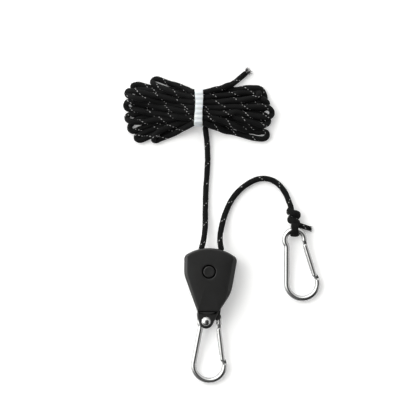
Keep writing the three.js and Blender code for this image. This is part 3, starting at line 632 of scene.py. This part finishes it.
knot_skin = Skin()
core_route = [[-2.3, 19.6, 4.55], [-1.9, 17.5, 4.9], [-0.9, 14.5, 5.4], [-0.2, 12.3, 6.0]]
rope_skin(knot_skin, in_knot(core_route), start=9 * mm)
bend = np.radians(np.linspace(90, 270, 11))
loop_route = [[-0.35, 13.6, 5.6], [-0.15, 11.6, 7.1], [0, 9.3, 8.3]]
loop_route += [
    [0, bow_middle_y + loop_radius * math.cos(a), loop_middle_z + loop_radius * math.sin(a)] for a in bend
]
loop_route += [[0, 9.3, 1.75], [0.1, 11.6, 2.5], [0.3, 13.6, 3.2]]
loop_path = in_knot(loop_route)
loop_share = run_along(loop_path) / run_along(loop_path)[-1]
loop_wide = np.interp(loop_share, [0, 0.2, 0.36, 0.5, 0.64, 0.8, 1], [2.2, 2.3, 2.55, 3.1, 2.7, 2.4, 2.2]) * mm
loop_side = turned([1.0, 0, 0], (0, 0, 0), knot_turn)
rope_skin(knot_skin, loop_path, 1.16 * mm, side=loop_side, square=0.8, wide=loop_wide, start=3 * mm, columns=24)
wind = np.linspace(-0.5 * np.pi, 3.3 * np.pi, 34)
climb_share = (wind - wind[0]) / (wind[-1] - wind[0])
turn_reach = 2.5 + 0.65 * np.clip(climb_share * 2 - 0.5, 0, 1)
turns_route = np.stack([
    -0.45 - 0.3 * climb_share + turn_reach * np.cos(wind),
    9.4 + 5.5 * (wind - wind[0]) / (2 * np.pi),
    4.55 + 2.6 * np.sin(wind),
], 1)
turns_side = turned([0.12, 1.0, 0], (0, 0, 0), knot_turn)
rope_skin(knot_skin, in_knot(turns_route), 1.72 * mm, wide=2.4 * mm, side=turns_side, start=6.4 * mm)
knot = rope_piece(knot_skin, "knot", "rope_knot")
tail_route = [[0.6, 10.7, 3.9], [3.4, 9.7, 3.2], [6.2, 8.7, 2.5], [9.0, 7.8, 1.95], [11.1, 7.2, 1.9]]
tail_path = in_knot(tail_route)
tail_wide = np.linspace(1.8, 2.15, len(tail_path)) * mm
tail_high = np.linspace(1.8, 1.55, len(tail_path)) * mm
tail_skin = rope_skin(Skin(), tail_path, tail_high, wide=tail_wide, side=(0, 0.35, 1), start=8 * mm)
knot_tail = rope_piece(tail_skin, "knot_tail", "rope_knot_tail")
knot_threads = tuft("knot_end_threads", tail_path, 60, 2.0 * mm, 1.3 * mm, 0.12)


# -----------------------------------------------------------------------------
# Band: a strip of soft white plastic wrapped tight round the hank's waist, its edges a little wavy and its face
# raised over each strand that it presses on.
band_half_wide, band_corner = 2.6, 4.0
band_half_y, band_half_z, band_middle_z = 12.5, 6.15, 6.25


def rounded_box(half_a, half_b, corner, count):
    """Points spaced evenly round a rectangle with round corners: four straight runs and four quarter circles."""
    a = np.radians(np.linspace(0, 90, 13))
    quarter = np.stack([half_a - corner + corner * np.cos(a), half_b - corner + corner * np.sin(a)], 1)
    ring = np.vstack([quarter, quarter[::-1] * (-1, 1), -quarter, quarter[::-1] * (1, -1), quarter[:1]])
    return evenly(np.column_stack([ring, np.zeros(len(ring))]), run_along(ring)[-1] / count)[:-1, :2]


band_round = rounded_box(band_half_y, band_half_z, band_corner, 240)
band_out = unit(np.roll(band_round, -1, 0) - np.roll(band_round, 1, 0))[:, ::-1] * (1, -1)
band_section = np.array([
    [-1, -0.9], [-1, -0.2], [-0.97, -0.05], [-0.88, 0], [-0.5, 0.16], [0, 0.22], [0.5, 0.16], [0.88, 0],
    [0.97, -0.05], [1, -0.2], [1, -0.9], [0, -0.9],
])
around_band = np.linspace(0, 2 * np.pi, len(band_round), endpoint=False)
band_edge = band_half_wide + 0.16 * np.sin(3 * around_band + 0.6) + 0.07 * np.sin(11 * around_band)
band_press = 0.16 * np.cos(2 * np.pi * band_round[:, 0] / strand_pitch) * (abs(band_round[:, 1]) > 3)
band_lift = band_section[:, 1, None] + np.where(band_section[:, 1, None] > -0.5, band_press, 0)
band_yz = band_round + band_lift[..., None] * band_out
band_x = band_section[:, 0, None] * band_edge + 0.3 * np.sin(band_yz[..., 0] * 0.22 + 0.5)
band_grid = np.stack([band_x, band_yz[..., 0], band_yz[..., 1] + band_middle_z], -1)


def band_shader():
    made = Shader("white plastic strip", Roughness=0.42, Subsurface_Weight=0.12, Specular_IOR_Level=0.4)
    place = made.object_place()
    creases = made.noise(place, 220, 3, 0.6)
    soil = made.noise(place, 55, 3, 0.55)
    made.set(Base_Color=made.mix(soil, grey(0.7, -0.004), grey(0.76)), Roughness=0.36 + 0.2 * creases)
    made.bump(creases, 0.16 * mm, 0.7)
    return made.material


band_skin = Skin().add(turned(band_grid, hank_at, hank_turn) * mm, ring=True)
band_skin.piece("hank_strip", "housing", "band_white", [band_shader()], ["hank_band"], crease=60)


# -----------------------------------------------------------------------------
# Covers: two moulded shells of satin black plastic that meet at mid depth. Each is a shield with an arched top and
# a tongue below it; its face is chamfered, and its walls stop short at the rope ports, the lever and the neck.
depth, face_low, face_high = 15.0, 2.6, 12.4
wall, groove_radius = 1.8, 4.65
tail_y, neck_left, neck_right = -33.0455, -26.5, -25.7
hook_sweep = 13.0
parting_high, parting_low, port_radius = 7.65, 7.35, 2.5
lever_left, lever_end, lever_top = 4.31, -17.9, 11.1
face_rise, tongue_top, ledge_top = 0.3, 13.8, 13.0


def arc(middle, radius, start, finish, count):
    a = np.radians(np.linspace(start, finish, count))
    return np.stack([middle[0] + radius * np.cos(a), middle[1] + radius * np.sin(a)], 1)


# Corners of the shield, anticlockwise from the neck's right end: place, corner radius, chamfer width.
crown_middle, crown_radius = (0.75, -13.05), 28.7
crown = arc(crown_middle, crown_radius, 55.15, 125.6, 12)
shield_corners = [
    (8.25, neck_right, 0.3, 0.25), (12.32, -18.72, 5.0, 0.9), (15.1, -13.6, 8.0, 2.3), (16.2, -8.6, 9.0, 2.8),
    (18.1, 8.6, 0.9, 2.8),
    *[(x, y, 0.8, w) for (x, y), w in zip(crown, [1.5] + 10 * [0.7] + [1.2])],
    (-16.95, 8.5, 0.8, 2.0), (-16.4, -2.75, 2.6, 1.9), (-7.4, -23.9, 1.0, 1.2), (-6.25, neck_left, 0.3, 0.25),
]


def round_corners(corners, count):
    """The outline with each corner turned into a quadratic curve that starts and ends a corner radius away from
    it, or 0.46 of a side where that is less, and the chamfer width carried along. Evenly spaced points."""
    p = np.array([c[:2] for c in corners])
    extra = np.array([c[3] for c in corners])
    before, after = np.roll(p, 1, 0) - p, np.roll(p, -1, 0) - p
    reach = np.array([c[2] for c in corners])[:, None]
    t = np.linspace(0, 1, 15)[None, :, None]
    a, b = (
        p + np.minimum(reach, 0.46 * np.linalg.norm(side, axis=1, keepdims=True)) * unit(side)
        for side in (before, after)
    )
    line = a[:, None] * (1 - t) ** 2 + 2 * p[:, None] * t * (1 - t) + b[:, None] * t**2
    ring = np.column_stack([line.reshape(-1, 2), np.repeat(extra, 15)])
    ring = np.vstack([ring, ring[:1]])
    run = run_along(ring[:, :2])
    places = np.linspace(0, run[-1], count, endpoint=False)
    return np.stack([np.interp(places, run, ring[:, k]) for k in range(3)], 1)


def outward(ring):
    """Across the outline, away from its inside: its direction turned a quarter clockwise."""
    along = unit(np.roll(ring, -1, 0) - np.roll(ring, 1, 0))
    return np.stack([along[:, 1], -along[:, 0]], 1)


shield = round_corners(shield_corners, 420)
shield_line, chamfer_wide = shield[:, :2], shield[:, 2]
shield_out = outward(shield_line)
for _ in range(6):
    shield_out = unit(np.roll(shield_out, 1, 0) + 2 * shield_out + np.roll(shield_out, -1, 0))
chamfer_drop = np.minimum(1.5, 0.35 + 0.62 * chamfer_wide)


def set_in(distance):
    return shield_line - np.asarray(distance)[..., None] * shield_out


def rim_height(xy, front):
    """Where a wall ends at the parting plane: flat, lifted into an arch over each rope port, and cut back to the
    face's underside by the lever and wherever the main hook swings."""
    parting = parting_high if front else parting_low
    height = np.full(len(xy), parting)
    for port in (left_port, right_port):
        beside = (xy[:, 0] - port[0]) ** 2
        arch = np.sqrt(np.clip(port_radius**2 - beside, 0, None))
        arch = wrap_height + arch if front else wrap_height - arch
        there = (xy[:, 1] > 8) & (beside < port_radius**2)
        height = np.where(there, np.maximum(height, arch) if front else np.minimum(height, arch), height)
    if front:
        lever = (xy[:, 0] > lever_left) & (xy[:, 1] < lever_end)
        height = np.where(lever, np.maximum(height, lever_top), height)
    open_neck = np.hypot(xy[:, 0], xy[:, 1] - tail_y) < hook_sweep
    return np.where(open_neck, (face_high if front else face_low) + (-0.02 if front else 0.02), height)


def shield_rows(front):
    """Rows of one shell, from the wall's rim up its outside, over the chamfer, up the face's slight crown to the
    ring groove round the axle, and back under the face and down the inside of the wall. Heights are for the
    front shell, and the rear one is turned over at the end."""
    bearing = np.arctan2(shield_line[:, 1], shield_line[:, 0])
    round_axle = np.stack([np.cos(bearing), np.sin(bearing)], 1)
    rows, rub = [], []

    def row(xy, z, worn=0.0):
        rows.append(np.column_stack([xy, np.broadcast_to(z, len(xy))]))
        rub.append(worn)

    rim = rim_height(set_in(0), front)
    rim = rim if front else depth - rim
    soft = 0.22
    shoulder = depth - chamfer_drop
    row(set_in(0.12), rim)
    row(set_in(0), np.minimum(rim + 0.14, shoulder - 0.6))
    row(set_in(0), shoulder - 0.55)
    for k, worn in ((0.0, 0.3), (0.25, 1.0), (0.5, 1.0), (0.75, 1.0), (1.0, 0.3)):
        row(set_in(soft * k * k * chamfer_wide / 2), shoulder - soft * (1 - k) + soft * k * 0.6, worn)
    for k in (0.3, 0.5, 0.7, 0.88):
        row(set_in(k * chamfer_wide), shoulder + chamfer_drop * k, 0.0)
    for k, worn in ((0.0, 1.0), (0.5, 1.0), (1.0, 0.3)):
        row(set_in(chamfer_wide * (0.95 + 0.17 * k)), depth - chamfer_drop * 0.05 * (1 - k) ** 2, worn)
    edge = set_in(chamfer_wide * 1.12 + 0.05)
    for k in (0.06, 0.2, 0.4, 0.6, 0.8, 0.93):
        row(edge * (1 - k) + (groove_radius + 0.25) * round_axle * k, depth + face_rise * (1 - (1 - k) ** 2))
    lip = 0.25
    floor_z = face_high if front else depth - 0.5
    for k in (0.0, 0.3, 0.6, 1.0):
        turn = k * math.pi / 2
        row((groove_radius + lip * (1 - math.sin(turn))) * round_axle, depth + 0.3 - lip * (1 - math.cos(turn)))
    row(groove_radius * round_axle, floor_z + 0.02)
    if not front:
        for radius, z in ((3.8, floor_z), (3.8, depth - 0.1), (3.6, depth + 0.1), (1.2, depth + 0.12)):
            row(radius * round_axle, z)
    inner = [(groove_radius * round_axle, face_high, 0.0)] if front else []
    middle = groove_radius if front else 1.2
    inside = set_in(wall)
    for k in (0.0, 0.35, 0.7, 1.0):
        inner.append((inside * k + middle * round_axle * (1 - k), face_high, 0.0))
    for xy, z, worn in inner:
        row(xy, z, worn)
    inner_rim = rim_height(inside, front)
    inner_rim = np.minimum(inner_rim if front else depth - inner_rim, face_high - 0.01)
    row(inside, inner_rim)
    row(set_in(wall - 0.12), inner_rim)
    grid = np.stack(rows)
    if not front:
        grid[..., 2] = depth - grid[..., 2]
    return grid * mm, np.array(rub)


def plate(corners, top, set_by, front):
    """A flat plate with a chamfered outer edge: from the middle of its underside out to the edge, up, and back
    over the top to the middle."""
    ring = round_corners(corners, 260)[:, :2]
    away, middle = outward(ring), np.array([0.8, -29.0])
    rows = [(0.0, face_high, 0.98), (0.0, face_high, 0.5), (0.15, face_high, 0.0), (0.0, face_high + 0.12, 0.0)]
    rows += [(0.0, top - 0.6, 0.0), (0.08, top - 0.46, 0.0), (0.3, top - 0.28, 0.0), (0.62, top - 0.08, 0.0)]
    rows += [(0.85, top - 0.01, 0.0), (1.1, top, 0.0), (1.1, top, 0.4), (1.1, top, 0.98)]
    worn = [0, 0, 0, 0, 0.3, 1, 0.4, 1, 0.5, 0, 0, 0]
    grid = np.stack([
        np.column_stack([(ring - (inset + set_by) * away) * (1 - k) + middle * k, np.full(len(ring), z)])
        for inset, z, k in rows
    ])
    if not front:
        grid[..., 2] = depth - grid[..., 2]
    return grid * mm, np.array(worn, float)


# The tongue stops just short of the shield; a lower ledge joins them under that gap.
tongue_end = [(-6.5, -30.0, 3.0, 0), *[(x, y, 1.2, 0) for x, y in arc((0, tail_y), 4.72, 200, 338, 11)]]
tongue_corners = [(8.2, neck_right - 0.2, 0.2, 0), (-6.25, neck_left - 0.2, 0.2, 0), *tongue_end]
ledge_corners = [(7.6, neck_right + 2, 0.6, 0), (-5.9, neck_left + 2, 0.3, 0), *tongue_end]


def cover_shader():
    """Satin black plastic: a fine spark-eroded grain, soft cloudiness where it was handled, a few hairline
    scratches, and edges that are rubbed smoother and a shade lighter."""
    made = Shader("satin black plastic", Specular_IOR_Level=0.5, Coat_Roughness=0.3)
    place = made.object_place()
    rubbed = made.node("Attribute", {"attribute_name": "rub"}, None, out=2)
    grain = made.noise(place, 3800, 2, 0.6)
    clouds = made.noise(place, 70, 4, 0.6)
    stretched = made.node("Mapping", None, {0: place, 2: (0.3, 0.2, 0.7), 3: (40, 900, 400)})
    hairs = made.noise(stretched, 1.0, 2, 0.6)
    scratches = (hairs - 0.63).sum("MAXIMUM", 0.0) * 3
    worn = rubbed * (0.45 + 0.55 * clouds)
    shade = worn * 0.75 + clouds * 0.2 + scratches * 0.3
    made.set(Base_Color=made.mix(shade, grey(0.0035, 0.01), grey(0.018, 0.0)))
    made.set(Roughness=0.3 + 0.12 * clouds - 0.06 * worn)
    made.bump(grain * 0.75 + (1 - scratches) * 0.25, 0.03 * mm, 0.6)
    return made.material


cover_plastic = cover_shader()
for front, name, node in ((True, "front_shell", "front_cover"), (False, "rear_shell", "rear_cover")):
    shell = Skin()
    grid, rub = shield_rows(front)
    shell.add(grid, ring=front, poles=not front, rub=rub)
    for corners, top, set_by in ((tongue_corners, tongue_top, 0.0), (ledge_corners, ledge_top, 0.2)):
        grid, rub = plate(corners, top, set_by, front)
        shell.add(grid, rub=rub)
    shell.piece(name, "housing", "housing_plastic", [cover_plastic], [node], crease=50)


# -----------------------------------------------------------------------------
# Axle cap: a plastic button pressed over the axle's head, with a soft edge and a face a little dished. A thin
# flange at its foot closes the hole in the cover round it.
def turned_body(profile, at, columns=64):
    """Rings about a line parallel to +Z: each profile point gives a radius and a height."""
    radius, height = np.asarray(profile, float).T
    a = np.linspace(0, 2 * np.pi, columns, endpoint=False)
    x, y = radius[:, None] * np.cos(a), radius[:, None] * np.sin(a)
    return np.stack([x + at[0], y + at[1], np.broadcast_to(height[:, None], x.shape) + at[2]], -1)


cap_profile = [(0.02, 13.2), (4.55, 13.2), (4.6, 13.3), (3.84, 13.34), (3.8, 14.35), (3.74, 14.6), (3.58, 14.78)]
cap_profile += [(3.36, 14.87), (3.1, 14.88), (2.2, 14.84), (1.1, 14.82), (0.02, 14.82)]
cap_rub = np.array([0, 0, 0, 0, 0, 0.5, 1, 0.7, 0, 0, 0, 0], float)
cap_skin = Skin().add(turned_body(cap_profile, (0, 0, 0)) * mm, rub=cap_rub)
cap_skin.piece("axle_button", "housing", "housing_plastic", [cover_plastic], ["axle_cap"])


# -----------------------------------------------------------------------------
# Metal inside the housing: pressed steel side plates, the die-cast wheel, a brass bush, the shouldered axle, the
# blackened pawl with its pin and wire spring, and the sleeve on the tail rivet.
def metal_shader(name, dark, light, low, high, marks, warmth=0.0):
    """Bare or plated metal: cloudy tone, and fine marks that roughen it. marks sets their size per metre."""
    made = Shader(name, Metallic=1.0)
    place = made.object_place()
    clouds = made.noise(place, marks * 0.15, 3, 0.55)
    fine = made.noise(place, marks, 4, 0.65)
    tint = (light * (1 + warmth), light * (1 + warmth * 0.45), light * (1 - warmth * 1.6), 1)
    made.set(Base_Color=made.mix(clouds, grey(dark, warmth), tint), Roughness=low + (high - low) * fine)
    made.bump(fine, 0.03 * mm, 0.35)
    return made.material


steel = metal_shader("pressed steel", 0.42, 0.6, 0.3, 0.5, 1400)
cast_zinc = metal_shader("cast zinc", 0.38, 0.56, 0.38, 0.6, 2200)
brass = metal_shader("sintered brass", 0.4, 0.62, 0.32, 0.5, 2600, 0.22)
bright_steel = metal_shader("turned steel", 0.62, 0.8, 0.16, 0.32, 1800)
black_steel = metal_shader("blackened steel", 0.02, 0.055, 0.4, 0.6, 1600)
spring_wire = metal_shader("spring wire", 0.5, 0.7, 0.2, 0.36, 3000)
for nodes, made in (
    (("rear_side_plate", "front_side_plate", "tail_sleeve"), steel),
    (("ratchet_wheel",), cast_zinc),
    (("wheel_bush",), brass),
    (("wheel_axle", "pawl_pin"), bright_steel),
    (("release_pawl",), black_steel),
    (("pawl_spring", "main_hook_gate_spring", "rope_hook_gate_spring"), spring_wire),
):
    for node in nodes:
        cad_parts[node].data.materials.clear()
        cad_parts[node].data.materials.append(made)


# -----------------------------------------------------------------------------
# Tail rivet: nickel plated, a polished dome in front over a thin flange, and a flatter clenched head behind.
rivet_rise = np.linspace(0, 90, 12)
dome = [(2.72 * math.cos(math.radians(a)), 14.2 + 1.2 * math.sin(math.radians(a))) for a in rivet_rise]
rivet_profile = [(0.02, 0.16), (1.2, 0.18), (2.2, 0.3), (2.8, 0.62), (2.98, 0.95), (2.9, 1.03), (1.4, 1.05)]
rivet_profile += [(1.4, 13.95), (2.85, 13.95), (3.0, 14.02), (3.0, 14.12), (2.9, 14.19)]
rivet_profile += dome[:-1] + [(0.02, 15.4)]


def plating_shader(name, tone, low, high):
    """Bright plating on drawn wire: faint lines along it, a few duller patches, and tiny pits."""
    made = Shader(name, Metallic=1.0)
    place = made.object_place()
    patches = made.noise(place, 120, 3, 0.6)
    pits = made.noise(place, 2400, 2, 0.6)
    around, along = made.uv_place()
    around = around * (2 * math.pi)
    line_values = {0: around.sum("COSINE") * 9, 1: around.sum("SINE") * 9, 2: along * 60}
    line_place = made.node("CombineXYZ", None, line_values)
    lines = made.noise(line_place, 2.0, 3, 0.6)
    made.set(Base_Color=made.mix(patches, grey(tone * 0.9), grey(tone, -0.004)))
    made.set(Roughness=low + (high - low) * (patches * 0.55 + lines * 0.45))
    made.bump(lines * 0.7 + pits * 0.3, 0.035 * mm, 0.35)
    return made.material


nickel = plating_shader("nickel plating", 0.58, 0.1, 0.2)
rivet_skin = Skin().add(turned_body(rivet_profile, (0, tail_y, 0), 56) * mm)
rivet_skin.piece("rivet", "housing", "rivet_nickel", [nickel], ["tail_rivet"], crease=50)


# -----------------------------------------------------------------------------
# Snap hooks: 4 mm plated wire bent into a small and a large bow. The wire's ends are pressed flat: one is the tang
# that the gate swings on, the other the nose that the gate's latch pin closes over. The wire is drawn 0.04 mm
# less in radius than it is, which leaves room beside the rear side plate as the main hook swings.
zinc = plating_shader("bright zinc plating", 0.56, 0.1, 0.24)
wire_radius, gate_radius = 1.96, 1.85
small_line, large_line = 6.57, 10.33
large_middle = np.array([5.17, -29.1])
spine_x = large_middle[0] - large_line
gate_hinge, gate_lean = np.array([13.2, -23.33]), math.radians(107.4)
gate_way = np.array([math.cos(gate_lean), math.sin(gate_lean)])
gate_across = np.array([-gate_way[1], gate_way[0]])
hook_normal = np.array([0, 0, 1.0])


def on_gate(along, inward=0.0):
    return gate_hinge + np.multiply.outer(along, gate_way) + np.multiply.outer(inward, gate_across)


def flat(xy, z=0.0):
    return np.column_stack([xy, np.full(len(xy), z)])


def in_hook(points, at, turn, lean, offset):
    """From a hook's own flat frame to the model's: moved along the flat, leaned about +X, turned about +Z."""
    x, y, z = np.moveaxis(np.asarray(points, float) + np.asarray(offset), -1, 0)
    c, s = math.cos(lean), math.sin(lean)
    return turned(np.stack([x, c * y - s * z, s * y + c * z], -1), at, turn) * mm


def wire_surface():
    """The bent wire: rings along nose, small bow, spine, large bow and tang. The section is round, and flattens
    towards the tangs, where its thickness, width and squareness change within a millimetre."""
    nose = np.vstack([on_gate(17.4), on_gate(18.3), on_gate(19.2), [7.0, -3.4], [6.72, -1.9]])
    small = arc((0, 0), small_line, -6, 204, 26)
    spine = np.array([[spine_x - 0.25, -3.8], *[[spine_x, y] for y in (-5.2, -10, -16, -22, -26)]])
    large = arc(large_middle, large_line, 180, 374, 24)
    eye_tip = gate_hinge + 1.6 * unit(np.array([-0.5, 0.86]))
    tang = np.vstack([[14.25, -24.5], gate_hinge, eye_tip])
    path = curve_through(flat(np.vstack([nose, small, spine, large, tang])), 0.22)
    run = run_along(path)
    end = run[-1]

    def where(point):
        return run[np.argmin(np.hypot(path[:, 0] - point[0], path[:, 1] - point[1]))]

    shoulder, step = where(small[0]), where(large[-1])
    pivot = where(gate_hinge)
    tip = np.sqrt(np.clip(1 - (np.clip(0.9 - run, 0, None) / 0.9) ** 2, 0.03, 1))
    eye = np.sqrt(np.clip(1 - (np.clip(run - pivot, 0, None) / (end - pivot)) ** 2, 0.02, 1))
    press = np.interp(run, [shoulder - 0.35, shoulder + 0.15, step - 0.1, step + 0.4], [1, 0, 0, 1])
    press = press * press * (3 - 2 * press)
    thin = wire_radius + (0.65 - wire_radius) * press
    broad = (wire_radius + (np.where(run < end / 2, 1.45, 1.6) - wire_radius) * press) * tip * eye
    wear = np.exp(-((run - 0.72 * end) / 6) ** 2)
    rings = tube_points(path, thin, broad, 28, hook_normal, 1 - 0.5 * press)
    return rings, run * mm, wear


def cheek(start, finish, rounded, centre, reach):
    """One cheek of the gate's fork: the part of a round bar that lies more than 0.95 from its middle plane, as a
    D of an arc and a chord. Towards its free end its width follows a half circle of the given reach."""
    low = 0.95
    first = math.asin(low / gate_radius)
    a = np.linspace(first, math.pi - first, 11)
    half = gate_radius * math.cos(first)
    chord = np.linspace(-half, half, 7)[1:-1]
    section = np.vstack([
        np.column_stack([gate_radius * np.cos(a), gate_radius * np.sin(a)]),
        np.column_stack([chord, np.full(5, low)]),
    ])
    along = np.linspace(start, finish, 18)
    beyond = np.clip((along - centre) * rounded / reach, 0, 0.995)
    narrow = np.sqrt(1 - beyond**2)[:, None]
    across, height = section[None, :, 0] * narrow, np.broadcast_to(section[None, :, 1], (18, len(section)))
    height = low + (height - low) * (0.25 + 0.75 * narrow)
    xy = gate_hinge + along[:, None, None] * gate_way + across[..., None] * gate_across
    return np.concatenate([xy, height[..., None]], -1)


def gate_surfaces():
    """The gate: a round bar along its own line with eased ends, and two cheeks at each end of it."""
    along = np.array([2.95, 3.0, 3.12, 3.4, 6, 10, 14, 16.4, 16.68, 16.8, 16.85])
    radius = gate_radius * np.array([0.86, 0.95, 0.99, 1, 1, 1, 1, 1, 0.99, 0.95, 0.86])
    bar = tube_points(flat(on_gate(along)), radius, radius, 28, hook_normal)
    cheeks = [cheek(-1.72, 3.3, -1, 0.0, 1.74), cheek(16.5, 21.5, 1, 20.0, 1.51)]
    return [bar] + cheeks + [c * (1, 1, -1) for c in cheeks]


def pin_surface(along, radius):
    """A headed pin across the gate: a straight shank with a low dome at each end."""
    half = gate_radius - 0.12
    head = [(radius, -0.12), (radius * 1.2, -0.08), (radius * 1.15, 0.02), (radius * 0.6, 0.12), (0.02, 0.16)]
    profile = [(out, -half - rise) for out, rise in head[::-1]] + [(out, half + rise) for out, rise in head]
    return turned_body(profile, (*on_gate(along), 0), 20)


hooks = (
    ("main_hook", "main_gate", (0, tail_y, 6.3), math.radians(-7.4), math.radians(6.188), (2.22, 0.1, 0)),
    ("rope_hook", "rope_gate", (*knot_at[:2], 4.664), knot_turn, math.radians(3.802), (0, 0, 0)),
)
for hook, gate_body, *stand in hooks:
    rings, run, worn = wire_surface()
    Skin().add(in_hook(rings, *stand), along=run, rub=worn).piece(
        f"{hook}_wire", hook, "hook_plating", [zinc], [f"{hook}_body"], crease=60
    )
    gate = Skin()
    for surface in gate_surfaces():
        gate.add(in_hook(surface, *stand), along=np.linspace(0, 0.02, len(surface)))
    gate.piece(f"{hook}_gate_bar", gate_body, "hook_plating", [zinc], [f"{hook}_gate"], crease=42)
    pins = ((f"{hook}_gate_pin", hook, 0.0, 0.6), (f"{hook}_latch_pin", gate_body, 19.2, 0.55))
    for pin, carrier, along, radius in pins:
        headed = Skin().add(in_hook(pin_surface(along, radius), *stand))
        headed.piece(f"{pin}_headed", carrier, "rivet_nickel", [nickel], [pin], crease=50)
    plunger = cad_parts[f"{hook}_plunger"].data
    plunger.materials.clear()
    plunger.materials.append(bright_steel)


# -----------------------------------------------------------------------------
# Table and light: a white sweep in a bright, pale room, with a soft lamp at the upper left.
floor_drop, floor_half = 0.25 * mm, 8.0
floor_mesh = bpy.data.meshes.new("table")
floor_corners = [(x * floor_half, y * floor_half, -floor_drop) for x, y in ((-1, -1), (1, -1), (1, 1), (-1, 1))]
floor_mesh.from_pydata(floor_corners, [], [(0, 1, 2, 3)])
floor = bpy.data.objects.new("table", floor_mesh)
scene.collection.objects.link(floor)
table_white = Shader(
    "table white", Roughness=0.8, Specular_IOR_Level=0.1, Emission_Strength=0.27, Emission_Color=grey(1.0)
)
grain = table_white.noise(table_white.object_place(), 40, 3)
table_white.set(Base_Color=table_white.mix(grain, grey(0.868), grey(0.88)))
floor_mesh.materials.append(table_white.material)
scene.view_settings.view_transform = "Standard"


def soft_box(name, place, target, size, power):
    """A square lamp that faces its target."""
    light = bpy.data.lights.new(name, "AREA")
    light.size, light.energy = size, power
    held = bpy.data.objects.new(name, light)
    scene.collection.objects.link(held)
    held.location = place
    held.rotation_euler = (Vector(target) - Vector(place)).to_track_quat("-Z", "Y").to_euler()


soft_box("key", (-0.8, 0.42, 1.0), (0, 0.03, 0), 0.5, 3)


def room_light():
    """How bright the room is each way. Left is brighter than right, the ceiling overhead is dim, and so is the
    near side, low down."""
    room = Shader("room", bpy.data.worlds.new("room"))
    scene.world = room.material
    x = room.node("SeparateXYZ", None, {0: room.node("TexCoord", None, None, out=0)})
    y, z = (Wire(room, x.socket.node.outputs[k]) for k in (1, 2))

    def ease(value, start, finish, low, high):
        values = {0: value, 1: start, 2: finish, 3: low, 4: high}
        return room.node("MapRange", {"interpolation_type": "SMOOTHSTEP"}, values)

    sideways = ease(x, -0.5, 0.6, 2.5, 0.9)
    overhead = ease(x * 0.18 + z * 0.97 - y * 0.14, 0.75, 0.92, 1.0, 0.0)
    ceiling = ease(x, -0.25, 0.15, 0.42, 0.04)
    near_side = ease(y, -0.6, -0.25, 0.05, 1.0)
    light = sideways * overhead * near_side + ceiling * (1 - overhead)
    room.set(Strength=light, Color=(1.0, 1.0, 0.985, 1))


room_light()
